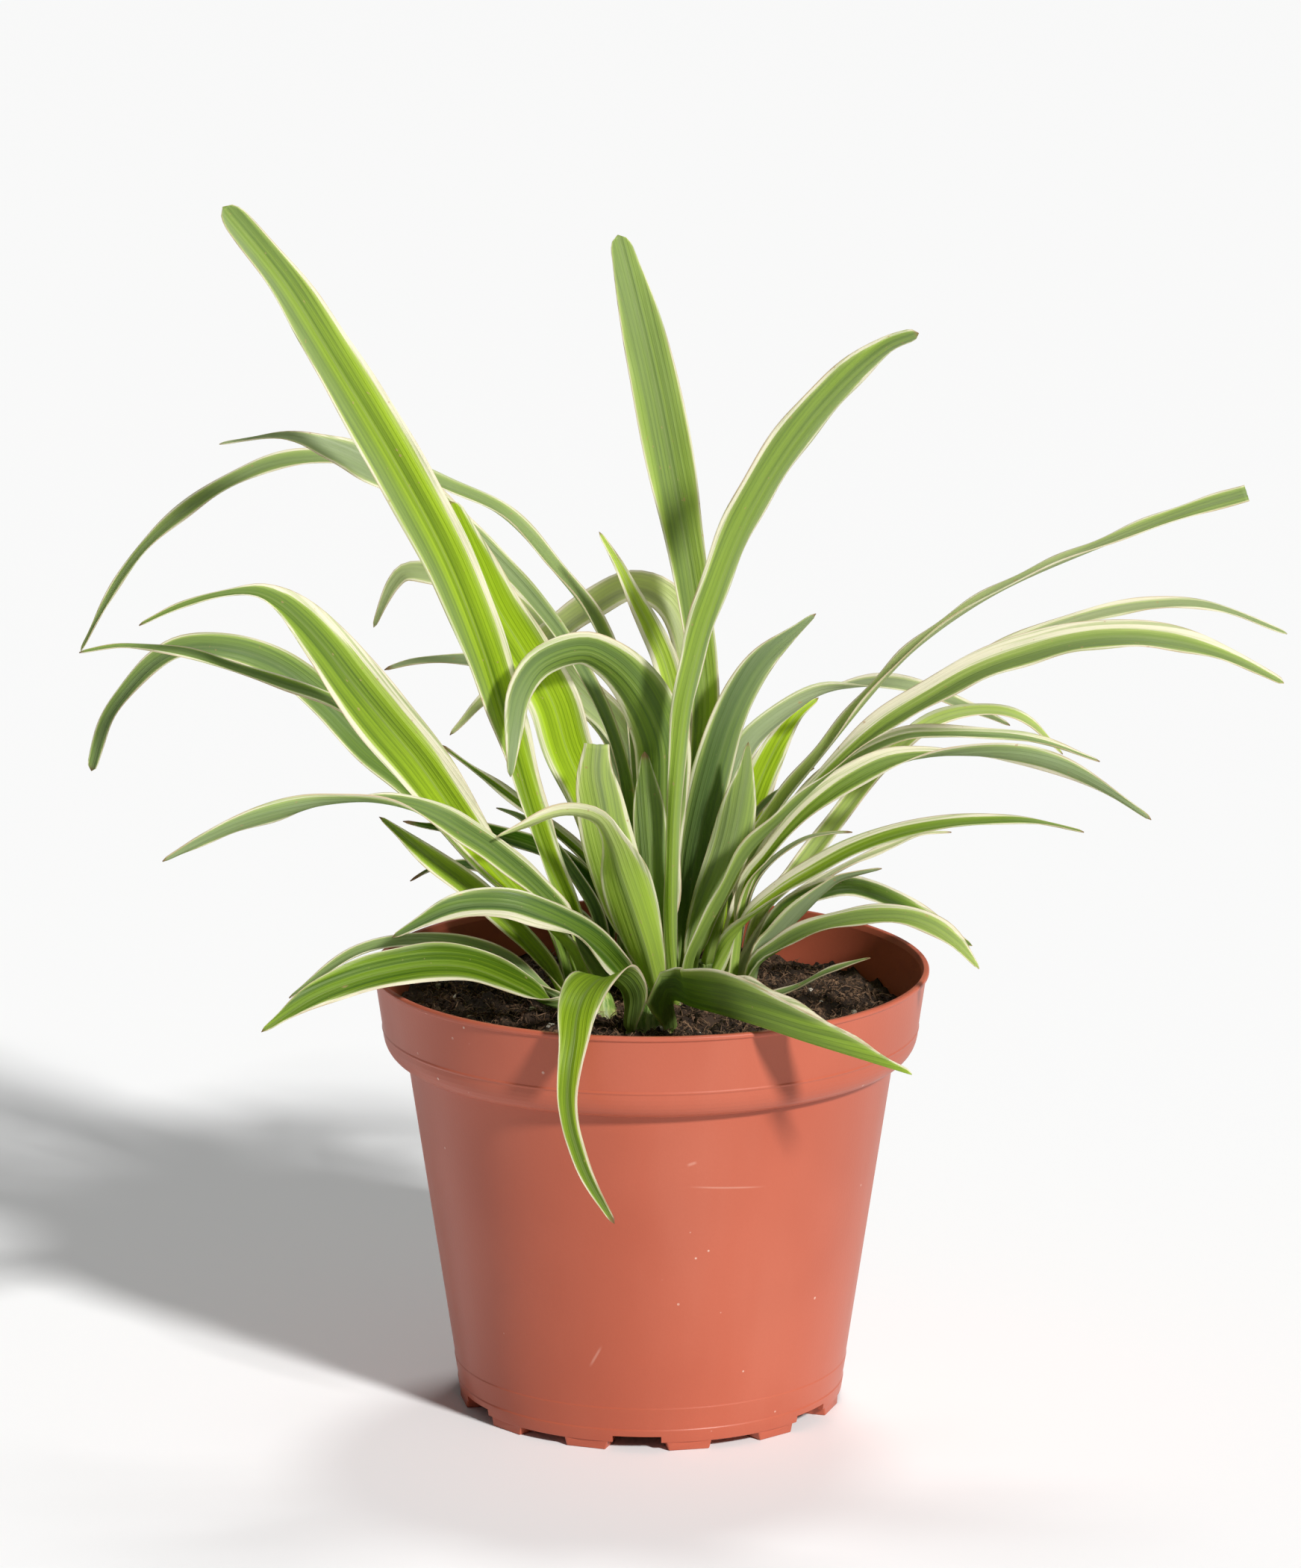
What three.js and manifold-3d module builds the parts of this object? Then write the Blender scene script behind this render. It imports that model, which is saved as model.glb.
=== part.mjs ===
// A potted spider plant: a thin plastic pot, its soil, six crowns and the leaves that arch from them.
// Millimetres, +Z up, on the surface that the pot's feet stand on, with the origin under the middle of
// the whole outline. The leaves arch further to the right and the back, so the pot's axis is a little
// off the origin.
import * as THREE from "three";
import { mergeVertices } from "three/addons/utils/BufferGeometryUtils.js";
import Module from "manifold-3d";

const wasm = await Module();
wasm.setup();

// Pot
const POT_HEIGHT = 96;
const RIM_RADIUS = 60;
const RIM_BEAD = 1.3;
const COLLAR_FOOT_RADIUS = 57.7;
const COLLAR_FOOT_HEIGHT = 82.8;
const STEP_HEIGHT = 77.2;
const STEP_RADIUS = 53.6;
const BODY_TOP_RADIUS = 52.6;
const BASE_RADIUS = 41.6;
const BASE_EDGE_HEIGHT = 1.8;
const WALL = 1.2;
const FLOOR_HEIGHT = 3.3;
const FLOOR_THICKNESS = 1.3;
const POT_SIDES = 72;

// Feet in pairs, with a drain notch between the two of each pair
const FOOT_PAIRS = 6;
const FIRST_NOTCH_ANGLE = -94;
const FOOT_SPREAD = 15.5;
const FOOT_WIDTH = 10.8;
const FOOT_LENGTH = 9;
const FOOT_SLANT = 1;
const NOTCH_WIDTH = 10.4;
const DRAIN_LENGTH = 7;

// Soil
const SOIL_EDGE_HEIGHT = 84.8;
const SOIL_CROWN_HEIGHT = 87.2;
const SOIL_CLEARANCE = 0.4;
const CRUMB_HEIGHT = 0.5;
const SOIL_RINGS = 9;
const SOIL_SIDES = 48;

// The middle of the outline, as [across, back] from the pot's axis
const MIDDLE = [6.09, 6.03];

// Crowns, as [across, back] of their centres
const CROWNS = {
  left: [-12, -4],
  centre: [3, 3],
  right: [15, -4],
  front: [0, -19],
  back: [-3, 18],
  back_right: [13, 15],
};
const CROWN_FOOT_HEIGHT = 74;
const CROWN_TOP_HEIGHT = 93.2;
const CROWN_FOOT_RADIUS = 6;
const CROWN_NECK_RADIUS = 4.1;
const CROWN_SIDES = 20;
const HOLE_CLEARANCE = 0.4;

// Leaves
const OUTER_ROOT = { radius: 6.4, height: 88.6 };
const INNER_ROOT = { radius: 3.3, height: 94.5 };
const BLADE_THICKNESS = 0.62;
const ROOT_SHARE = 0.22;
const FOLDS = [44, 26, 18, 12];

// The leaves are laid out as they show from the front, from a point this far off and this far above
// the level, which looks at the middle of the plant.
const SEEN_DISTANCE = 1500;
const SEEN_TILT = THREE.MathUtils.degToRad(13);
const SEEN_HEIGHT = 136;

const MATERIALS = {
  pot: { color: 0xd8704f, roughness: 0.42, metalness: 0 },
  soil: { color: 0x2b1d16, roughness: 0.95, metalness: 0 },
  crown: { color: 0xa9b86a, roughness: 0.6, metalness: 0 },
  leaf: { color: 0x6f9a3c, roughness: 0.5, metalness: 0 },
};

// Everything in the group is laid out from the pot's axis.
const plant = new THREE.Group();
plant.position.set(-MIDDLE[0], -MIDDLE[1], 0);

function addMesh(name, geometry, kind) {
  const mesh = new THREE.Mesh(geometry, new THREE.MeshStandardMaterial(MATERIALS[kind]));
  mesh.name = name;
  plant.add(mesh);
}

// A closed geometry as a solid to cut and join.
function solidOf(geometry) {
  const bare = geometry.clone();
  bare.deleteAttribute("normal");
  bare.deleteAttribute("uv");
  const merged = mergeVertices(bare, 1e-4);
  return new wasm.Manifold(
    new wasm.Mesh({
      numProp: 3,
      vertProperties: merged.attributes.position.array,
      triVerts: new Uint32Array(merged.index.array),
    }),
  );
}

function geometryOf(solid) {
  const mesh = solid.getMesh();
  const geometry = new THREE.BufferGeometry();
  geometry.setAttribute("position", new THREE.BufferAttribute(mesh.vertProperties, 3));
  geometry.setIndex(new THREE.BufferAttribute(mesh.triVerts, 1));
  geometry.computeVertexNormals();
  return geometry;
}

// A profile of [radius, height] points turned about the upright axis.
function turned(profile, sides) {
  const points = profile.map(([radius, height]) => new THREE.Vector2(radius, height));
  return new THREE.LatheGeometry(points, sides).rotateX(Math.PI / 2);
}

// ---- Pot ----

function potShell() {
  const slope = (BODY_TOP_RADIUS - BASE_RADIUS) / (STEP_HEIGHT - BASE_EDGE_HEIGHT);
  const innerWall = (height) => BASE_RADIUS + (height - BASE_EDGE_HEIGHT) * slope - WALL;
  const floorTop = FLOOR_HEIGHT + FLOOR_THICKNESS;
  const shoulder = [];
  for (let i = 0; i <= 5; i++) {
    const angle = (i / 5) * (Math.PI / 2);
    const radius = STEP_RADIUS + (COLLAR_FOOT_RADIUS - STEP_RADIUS) * Math.sin(angle);
    const height = STEP_HEIGHT + (COLLAR_FOOT_HEIGHT - STEP_HEIGHT) * (1 - Math.cos(angle));
    shoulder.push([radius, height]);
  }
  const profile = [
    [0, FLOOR_HEIGHT],
    [innerWall(FLOOR_HEIGHT), FLOOR_HEIGHT],
    [BASE_RADIUS - WALL, BASE_EDGE_HEIGHT],
    [BASE_RADIUS, BASE_EDGE_HEIGHT],
    [BODY_TOP_RADIUS, STEP_HEIGHT],
    ...shoulder,
    [RIM_RADIUS - 0.6, POT_HEIGHT - RIM_BEAD],
    [RIM_RADIUS, POT_HEIGHT - 0.9],
    [RIM_RADIUS, POT_HEIGHT - 0.3],
    [RIM_RADIUS - 0.3, POT_HEIGHT],
    [RIM_RADIUS - 1.2, POT_HEIGHT],
    [RIM_RADIUS - 1.7, POT_HEIGHT - RIM_BEAD],
    [COLLAR_FOOT_RADIUS - WALL, COLLAR_FOOT_HEIGHT],
    [BODY_TOP_RADIUS, STEP_HEIGHT + 2.2],
    [BODY_TOP_RADIUS - WALL, STEP_HEIGHT],
    [innerWall(floorTop), floorTop],
    [0, floorTop],
  ];
  return solidOf(turned(profile, POT_SIDES));
}

// A block whose long axis runs out from the pot's axis at the given angle.
function radialBlock(angle, fromRadius, length, outline) {
  const shape = new THREE.Shape(outline.map(([side, height]) => new THREE.Vector2(side, height)));
  const block = new THREE.ExtrudeGeometry(shape, { depth: length, bevelEnabled: false });
  block.translate(0, 0, fromRadius);
  block.rotateX(Math.PI / 2);
  block.rotateZ(THREE.MathUtils.degToRad(angle) + Math.PI / 2);
  return solidOf(block);
}

function makePot() {
  let pot = potShell();
  const half = FOOT_WIDTH / 2;
  const footOutline = [
    [-half + FOOT_SLANT, 0],
    [half - FOOT_SLANT, 0],
    [half, FLOOR_HEIGHT + 0.3],
    [-half, FLOOR_HEIGHT + 0.3],
  ];
  const notchHalf = NOTCH_WIDTH / 2;
  const notchOutline = [
    [-notchHalf, -1],
    [notchHalf, -1],
    [notchHalf, FLOOR_HEIGHT],
    [-notchHalf, FLOOR_HEIGHT],
  ];
  const drainOutline = [
    [-notchHalf, FLOOR_HEIGHT - 1],
    [notchHalf, FLOOR_HEIGHT - 1],
    [notchHalf, FLOOR_HEIGHT + FLOOR_THICKNESS + 1],
    [-notchHalf, FLOOR_HEIGHT + FLOOR_THICKNESS + 1],
  ];
  const footStart = BASE_RADIUS - 0.3 - FOOT_LENGTH;
  for (let i = 0; i < FOOT_PAIRS; i++) {
    const middle = FIRST_NOTCH_ANGLE + (360 / FOOT_PAIRS) * i;
    pot = pot.add(radialBlock(middle - FOOT_SPREAD, footStart, FOOT_LENGTH, footOutline));
    pot = pot.add(radialBlock(middle + FOOT_SPREAD, footStart, FOOT_LENGTH, footOutline));
    pot = pot.subtract(radialBlock(middle, footStart, FOOT_LENGTH + 5, notchOutline));
    pot = pot.subtract(radialBlock(middle, footStart, DRAIN_LENGTH, drainOutline));
  }
  addMesh("pot", geometryOf(pot), "pot");
}

// ---- Soil ----

// How far the crumbs lift the surface at a place, in steps that look raked.
function crumbs(x, y) {
  const coarse = Math.sin(x * 0.31 + 1.3) * Math.cos(y * 0.27 - 0.4);
  const fine = Math.sin(x * 0.83 - y * 0.52) * Math.cos(y * 0.91 + x * 0.37);
  return CRUMB_HEIGHT * (0.6 * coarse + 0.4 * fine);
}

function soilHeight(x, y, edgeRadius) {
  const share = Math.min(1, Math.hypot(x, y) / edgeRadius);
  const mound = SOIL_EDGE_HEIGHT + (SOIL_CROWN_HEIGHT - SOIL_EDGE_HEIGHT) * (1 - share * share);
  return mound + crumbs(x, y);
}

function soilBody() {
  const slope = (BODY_TOP_RADIUS - BASE_RADIUS) / (STEP_HEIGHT - BASE_EDGE_HEIGHT);
  const foot = FLOOR_HEIGHT + FLOOR_THICKNESS + SOIL_CLEARANCE;
  const footRadius = BASE_RADIUS + (foot - BASE_EDGE_HEIGHT) * slope - WALL - SOIL_CLEARANCE;
  const stepRadius = BODY_TOP_RADIUS - WALL - SOIL_CLEARANCE;
  const collarSlope = (RIM_RADIUS - 1.7 - COLLAR_FOOT_RADIUS + WALL) / (POT_HEIGHT - COLLAR_FOOT_HEIGHT);
  const edgeRadius =
    COLLAR_FOOT_RADIUS - WALL - SOIL_CLEARANCE - 0.4 + (SOIL_EDGE_HEIGHT - COLLAR_FOOT_HEIGHT) * collarSlope;
  const profile = [
    [0, foot],
    [footRadius, foot],
    [stepRadius, STEP_HEIGHT],
    [stepRadius + 1, STEP_HEIGHT + 2.4],
    [COLLAR_FOOT_RADIUS - WALL - SOIL_CLEARANCE - 0.3, COLLAR_FOOT_HEIGHT + 0.3],
  ];
  for (let ring = SOIL_RINGS; ring >= 0; ring--) {
    profile.push([(edgeRadius * ring) / SOIL_RINGS, SOIL_EDGE_HEIGHT]);
  }
  const geometry = turned(profile, SOIL_SIDES);
  const position = geometry.attributes.position;
  for (let i = 0; i < position.count; i++) {
    if (position.getZ(i) > SOIL_EDGE_HEIGHT - 0.01) {
      position.setZ(i, soilHeight(position.getX(i), position.getY(i), edgeRadius));
    }
  }
  return solidOf(geometry);
}

function makeSoil() {
  let soil = soilBody();
  for (const [across, back] of Object.values(CROWNS)) {
    const height = POT_HEIGHT - CROWN_FOOT_HEIGHT;
    const radius = CROWN_FOOT_RADIUS + HOLE_CLEARANCE;
    const hole = new THREE.CylinderGeometry(radius, radius, height, CROWN_SIDES);
    hole.rotateX(Math.PI / 2);
    hole.translate(across, back, CROWN_FOOT_HEIGHT - HOLE_CLEARANCE + height / 2);
    soil = soil.subtract(solidOf(hole));
  }
  addMesh("soil", geometryOf(soil), "soil");
}

// ---- Crowns: the short rootstocks that the leaves clasp ----

function makeCrown(name, [across, back]) {
  const profile = [
    [0, CROWN_FOOT_HEIGHT],
    [CROWN_FOOT_RADIUS * 0.7, CROWN_FOOT_HEIGHT + 1],
    [CROWN_FOOT_RADIUS, CROWN_FOOT_HEIGHT + 4],
    [CROWN_FOOT_RADIUS, OUTER_ROOT.height - 4],
    [CROWN_NECK_RADIUS, OUTER_ROOT.height - 1],
    [CROWN_NECK_RADIUS * 0.9, CROWN_TOP_HEIGHT - 2],
    [CROWN_NECK_RADIUS * 0.65, CROWN_TOP_HEIGHT - 0.4],
    [0, CROWN_TOP_HEIGHT],
  ];
  const geometry = turned(profile, CROWN_SIDES);
  geometry.translate(across, back, 0);
  addMesh("crown_" + name, geometryOf(solidOf(geometry)), "crown");
}

// ---- Leaves ----

// The place of a point that shows at [across, up] from the front and lies that far back.
function seenPoint(across, up, back) {
  const cos = Math.cos(SEEN_TILT);
  const sin = Math.sin(SEEN_TILT);
  const rise = (up - SEEN_HEIGHT * cos) / SEEN_DISTANCE;
  const lift = (rise * (SEEN_DISTANCE + back * cos) - back * sin) / (cos + rise * sin);
  const depth = SEEN_DISTANCE + back * cos - lift * sin;
  return new THREE.Vector3((across * depth) / SEEN_DISTANCE, back, SEEN_HEIGHT + lift);
}

// A smooth value at t from 0 to 1 along evenly spaced ones.
function along(values, t) {
  const place = THREE.MathUtils.clamp(t, 0, 1) * (values.length - 1);
  const i = Math.min(Math.floor(place), values.length - 2);
  const at = (k) => values[THREE.MathUtils.clamp(k, 0, values.length - 1)];
  const u = place - i;
  const [a, b, c, d] = [at(i - 1), at(i), at(i + 1), at(i + 2)];
  return b + 0.5 * u * (c - a + u * (2 * a - 5 * b + 4 * c - d + u * (3 * (b - c) + d - a)));
}

// The midrib from the crown out to the tip.
function midrib(crown, angle, root, path, back) {
  const turn = THREE.MathUtils.degToRad(angle);
  const [cx, cy] = CROWNS[crown];
  const start = new THREE.Vector3(
    cx + root.radius * Math.cos(turn),
    cy + root.radius * Math.sin(turn),
    root.height,
  );
  const run = [0];
  for (let i = 1; i < path.length; i++) {
    run.push(run[i - 1] + Math.hypot(path[i][0] - path[i - 1][0], path[i][1] - path[i - 1][1]));
  }
  const points = path.map(([across, up], i) => seenPoint(across, up, along(back, run[i] / run.at(-1))));
  return new THREE.CatmullRomCurve3([start, ...points], false, "centripetal");
}

// The blade's section at a station: left edge, midrib and right edge on top, then the same below.
function bladeSection(middle, side, upper, width, fold) {
  const lean = THREE.MathUtils.degToRad(fold);
  const reach = (width / 2) * Math.cos(lean);
  const raise = (width / 2) * Math.sin(lean);
  const depth = BLADE_THICKNESS / Math.cos(lean);
  const place = (across, up) => middle.clone().addScaledVector(side, across).addScaledVector(upper, up);
  return [
    place(-reach, raise),
    place(0, 0),
    place(reach, raise),
    place(reach, raise - depth),
    place(0, -depth),
    place(-reach, raise - depth),
  ];
}

// Joins the sections into one closed blade, with the same diagonals on both faces.
function loft(sections) {
  const positions = sections.flat().flatMap((point) => point.toArray());
  const faces = [];
  const size = 6;
  const quads = [
    [0, 1, false],
    [1, 2, false],
    [2, 3, false],
    [3, 4, true],
    [4, 5, true],
    [5, 0, false],
  ];
  for (let ring = 0; ring < sections.length - 1; ring++) {
    for (const [a, b, below] of quads) {
      const [p, q] = [ring * size + a, ring * size + b];
      const [r, s] = [q + size, p + size];
      if (below) {
        faces.push(p, s, q, q, s, r);
      } else {
        faces.push(p, r, q, p, s, r);
      }
    }
  }
  const last = (sections.length - 1) * size;
  faces.push(0, 1, 5, 5, 1, 4, 1, 2, 4, 4, 2, 3);
  faces.push(last, last + 5, last + 1, last + 5, last + 4, last + 1);
  faces.push(last + 1, last + 4, last + 2, last + 4, last + 3, last + 2);
  const geometry = new THREE.BufferGeometry();
  geometry.setAttribute("position", new THREE.Float32BufferAttribute(positions, 3));
  geometry.setIndex(faces);
  geometry.computeVertexNormals();
  return geometry;
}

// wide: widths, turn: how far the upper face is turned from facing the front (90 is edge on, face up),
// fold: how steeply the two halves stand up from the midrib. Each list runs evenly from root to tip.
function leaf(name, crown, angle, root, path, { back, wide, turn, fold = FOLDS, from = null }) {
  const curve = midrib(crown, angle, root, path, back);
  const length = curve.getLength();
  const stations = 8 + Math.round(length / 21);
  const toViewer = from
    ? new THREE.Vector3(...from).normalize()
    : new THREE.Vector3(0, -Math.cos(SEEN_TILT), Math.sin(SEEN_TILT));
  const heading = path.at(-1)[0] < curve.points[0].x ? 1 : -1;
  const inward = new THREE.Vector3(
    -Math.cos(THREE.MathUtils.degToRad(angle)),
    -Math.sin(THREE.MathUtils.degToRad(angle)),
    0,
  );
  let rootTurn = null;
  const sections = [];
  for (let i = 0; i < stations; i++) {
    const t = i / (stations - 1);
    const tangent = curve.getTangentAt(t);
    const front = toViewer.clone().addScaledVector(tangent, -toViewer.dot(tangent)).normalize();
    const raised = tangent.clone().cross(front).multiplyScalar(heading);
    if (rootTurn === null) {
      const facing = THREE.MathUtils.radToDeg(Math.atan2(inward.dot(raised), inward.dot(front)));
      rootTurn = facing + 360 * Math.round((turn[0] - facing) / 360);
    }
    const own = along(turn, (t - ROOT_SHARE) / (1 - ROOT_SHARE));
    const share = THREE.MathUtils.smoothstep(t, 0, ROOT_SHARE);
    const roll = THREE.MathUtils.degToRad(rootTurn + (own - rootTurn) * share);
    const upper = front.multiplyScalar(Math.cos(roll)).addScaledVector(raised, Math.sin(roll));
    const side = upper.clone().cross(tangent);
    sections.push(bladeSection(curve.getPointAt(t), side, upper, along(wide, t), along(fold, t)));
  }
  addMesh("leaf_" + name, loft(sections), "leaf");
}

function makeLeftLeaves() {
  leaf("tall_left", "left", 95, INNER_ROOT,
    [[-16.5, 104], [-23.3, 120], [-31, 145], [-35.6, 160], [-43.5, 180], [-54, 200], [-65.8, 220],
      [-78.4, 240], [-91.5, 256]],
    { back: [-1, -6, -12, -20], wide: [4.4, 7, 10, 11.8, 12.2, 9.8, 6], turn: [40, 20, 10, 20, 30] });
  leaf("wide_left", "left", 215, INNER_ROOT,
    [[-17, 96.5], [-26, 106], [-33.5, 114], [-37.2, 119], [-40.5, 124], [-49.5, 137], [-57, 146],
      [-64, 154.5], [-69.5, 161.5], [-74.5, 167], [-79.5, 171.2], [-84.5, 173.4], [-92, 173], [-100, 170.8],
      [-109.5, 166.5]],
    { back: [-6.5, -9, -18, -28], wide: [4.2, 7, 9.8, 13, 13.5, 10.4, 3.2, 1.2], turn: [40, 15, 10, 30, 55, 50] });
  leaf("long_low_left", "left", 318, INNER_ROOT,
    [[-18, 103], [-25, 110.5], [-30, 114.8], [-35, 118.8], [-40, 122], [-45, 125], [-51, 127.5], [-60, 129],
      [-70, 128.5], [-80, 126.3], [-90, 123.2], [-104.5, 116]],
    { back: [-14, -25, -38, -50], wide: [4.2, 6, 7, 7, 6, 5, 1.2], turn: [40, 30, 90, 140, 130] });
  leaf("stalk_left", "left", 184, OUTER_ROOT,
    [[-22, 92.5], [-31, 103], [-38, 109.5], [-48, 117.3], [-58, 125.5]],
    { back: [-6, -14, -24], wide: [4.2, 6, 6.6, 5.5, 1], turn: [40, 30, 30] });
  leaf("front_left", "left", 254, OUTER_ROOT,
    [[-21.7, 85.4], [-27.3, 88.5], [-38.5, 93], [-46.9, 93.6], [-55.3, 92.4], [-63.7, 90.2], [-72.1, 86.8],
      [-83.3, 79.5]],
    { back: [-15, -26, -37, -46], wide: [4.2, 7, 9.5, 9.5, 7, 1.2], turn: [40, 30, 30, 30] });
  leaf("grey_left", "left", 219, OUTER_ROOT,
    [[-24, 89.5], [-31, 94.5], [-38.5, 97.2], [-46.9, 98.6], [-55.3, 98.3], [-63.7, 95.8], [-77.4, 86.8]],
    { back: [-11.6, -17.5, -22.5, -28], wide: [3.6, 5, 6, 5.5, 4, 1], turn: [60, 60, 60, 60] });
  leaf("strip_left", "left", 146, OUTER_ROOT,
    [[-22, 102], [-33, 114], [-46, 130], [-58, 143], [-68, 150], [-79, 153.8], [-90, 157.5], [-100, 160.5],
      [-112, 162], [-122.3, 160.7]],
    { back: [0, -1, -3, -8], wide: [4, 4, 4.5, 4.5, 3.5, 1], turn: [50, 50, 50, 50] });
  leaf("dark_left", "left", 110, OUTER_ROOT,
    [[-20, 102], [-33, 113], [-45, 127], [-52, 134], [-60, 140.2], [-70, 150.5], [-80, 158], [-90, 161.5],
      [-100, 161.5], [-106, 158.5], [-112, 152.5], [-116.5, 146], [-119.7, 135.3]],
    { back: [7, 13, 20, 26], wide: [4, 7, 10, 10.5, 8, 7, 5.4, 2.6], turn: [30, 20, 20, 45, 30] });
  leaf("back_tip_left", "left", 72, OUTER_ROOT,
    [[-12, 104], [-17, 113], [-23, 121], [-28, 125.5], [-33, 127.5]],
    { back: [9, 14, 20], wide: [3.6, 5, 6, 4, 1], turn: [60, 60, 60] });
}

function makeCentreLeaves() {
  leaf("twist_left", "centre", 208, OUTER_ROOT,
    [[-8, 94], [-12, 98], [-17, 101.5], [-23, 104.2], [-30, 106.5], [-38.5, 106.7], [-44.1, 105.4],
      [-55.3, 99.7]],
    { back: [-9, -25, -29, -34], wide: [4.2, 7, 8.5, 8, 6, 1.2], turn: [20, 60, 30, 30, 30] });
  leaf("kinked", "centre", 260, OUTER_ROOT,
    [[-0.5, 96], [-3, 104], [-6, 113], [-8.2, 120], [-11, 124.8], [-15, 126.3], [-20, 126.2], [-33, 121.3]],
    { back: [-8.5, -14, -18, -23], wide: [4.2, 9, 12, 11, 6, 4.6, 1], turn: [180, 170, 130, 120, 120] });
  leaf("right_arch", "centre", 297, OUTER_ROOT,
    [[4.5, 100], [4.7, 120], [5.4, 131], [6.2, 140], [7.5, 150], [9.8, 160], [12.8, 170], [20.8, 190],
      [34, 210.5], [50, 226], [57.4, 229]],
    { back: [-4, -8, -14, -22], wide: [4, 3.8, 3.6, 5.2, 7.5, 9.4, 10.2, 8.8, 3.2], turn: [180, 150, 140, 140, 140] });
  leaf("great_right_arch", "centre", 338, OUTER_ROOT,
    [[9, 95], [15, 107], [20.5, 117.3], [28.1, 125.3], [43.2, 139.5], [50, 145], [58.4, 150.2],
      [69.7, 156.6], [81, 160.7], [92.5, 163.6], [103.8, 164.2], [115.2, 162.6], [126.5, 158.8], [135.6, 154.1]],
    { back: [-4, -9, -15, -20], wide: [4.2, 5, 6.6, 8.2, 8.8, 7.4, 2], turn: [120, 60, 40, 40, 40] });
  leaf("short_right", "centre", 15, OUTER_ROOT,
    [[10.8, 100], [13.2, 108], [15.6, 114], [17.5, 120], [18.8, 126], [19.6, 131], [20.4, 136],
      [20.9, 141.5]],
    { back: [3.7, 2, 0], wide: [4, 7, 9.6, 8, 1], turn: [160, 170, 160] });
  leaf("tall_centre", "centre", 62, OUTER_ROOT,
    [[8, 105], [9.3, 120], [11, 140], [11.5, 150], [10.9, 160], [9.6, 170], [8.1, 180], [6.4, 190],
      [4.6, 200], [0.6, 220], [-4.3, 240], [-7, 250]],
    { back: [15, 20, 26, 32], wide: [4, 5, 5.6, 6.2, 6.9, 7.5, 9, 11.1, 10.8, 8.7, 4.5], turn: [10, 0, 0, 10] });
  leaf("small_lime", "centre", 100, OUTER_ROOT,
    [[3.5, 105], [5.3, 128], [5, 150], [3, 158.5], [0, 165.5], [-3.6, 172.5], [-7, 179.5], [-11, 186.5]],
    { back: [12, 13, 14], wide: [3.8, 5, 6.3, 5.5, 1], turn: [10, 10, 10] });
  leaf("lime_left", "centre", 168, OUTER_ROOT,
    [[-7, 106], [-9.5, 115], [-13, 128], [-18, 140], [-21, 150], [-26.5, 160], [-32.5, 170], [-37, 180],
      [-43, 193]],
    { back: [6, 6, 4, 2], wide: [4.4, 8, 11, 12, 10, 4], turn: [20, 10, 10, 10] });
  leaf("cut_tip", "centre", 200, INNER_ROOT,
    [[-3, 100], [-5.5, 107], [-7.5, 114], [-9.5, 122], [-10.8, 129], [-11.8, 135], [-11.5, 141]],
    { back: [-4.5, -7, -9], wide: [4, 10, 12, 12, 10, 5.5], turn: [170, 180, 180] });
  leaf("central_arch", "centre", 115, INNER_ROOT,
    [[3.4, 106], [2.8, 118], [2.8, 130], [2.5, 141], [-0.5, 149], [-4.5, 155], [-9, 159], [-13.5, 161],
      [-18.8, 160.3], [-24, 157.5], [-27.5, 152], [-29, 145], [-30, 134]],
    { back: [4.3, 3.8, 1, -11, -18], wide: [4, 6, 9.6, 13, 12.4, 9.6, 8.4, 6, 1.4],
      turn: [180, 180, 158, 140, 165] });
  leaf("short_grey", "centre", 288, INNER_ROOT,
    [[0.8, 106], [0.3, 117], [-0.3, 125], [-1.3, 139.5]],
    { back: [-0.4, 0], wide: [3.6, 7.5, 8, 7, 1.6], turn: [180, 180, 180] });
  leaf("dark_right", "centre", 32, INNER_ROOT,
    [[8.2, 106], [10, 118.5], [12, 128], [14.5, 138], [17, 146], [20.5, 153.5], [25, 160], [35.4, 169]],
    { back: [8, 8, 9, 10], wide: [4, 7, 9.5, 9.5, 7, 1.2], turn: [180, 160, 150, 150] });
}

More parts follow.
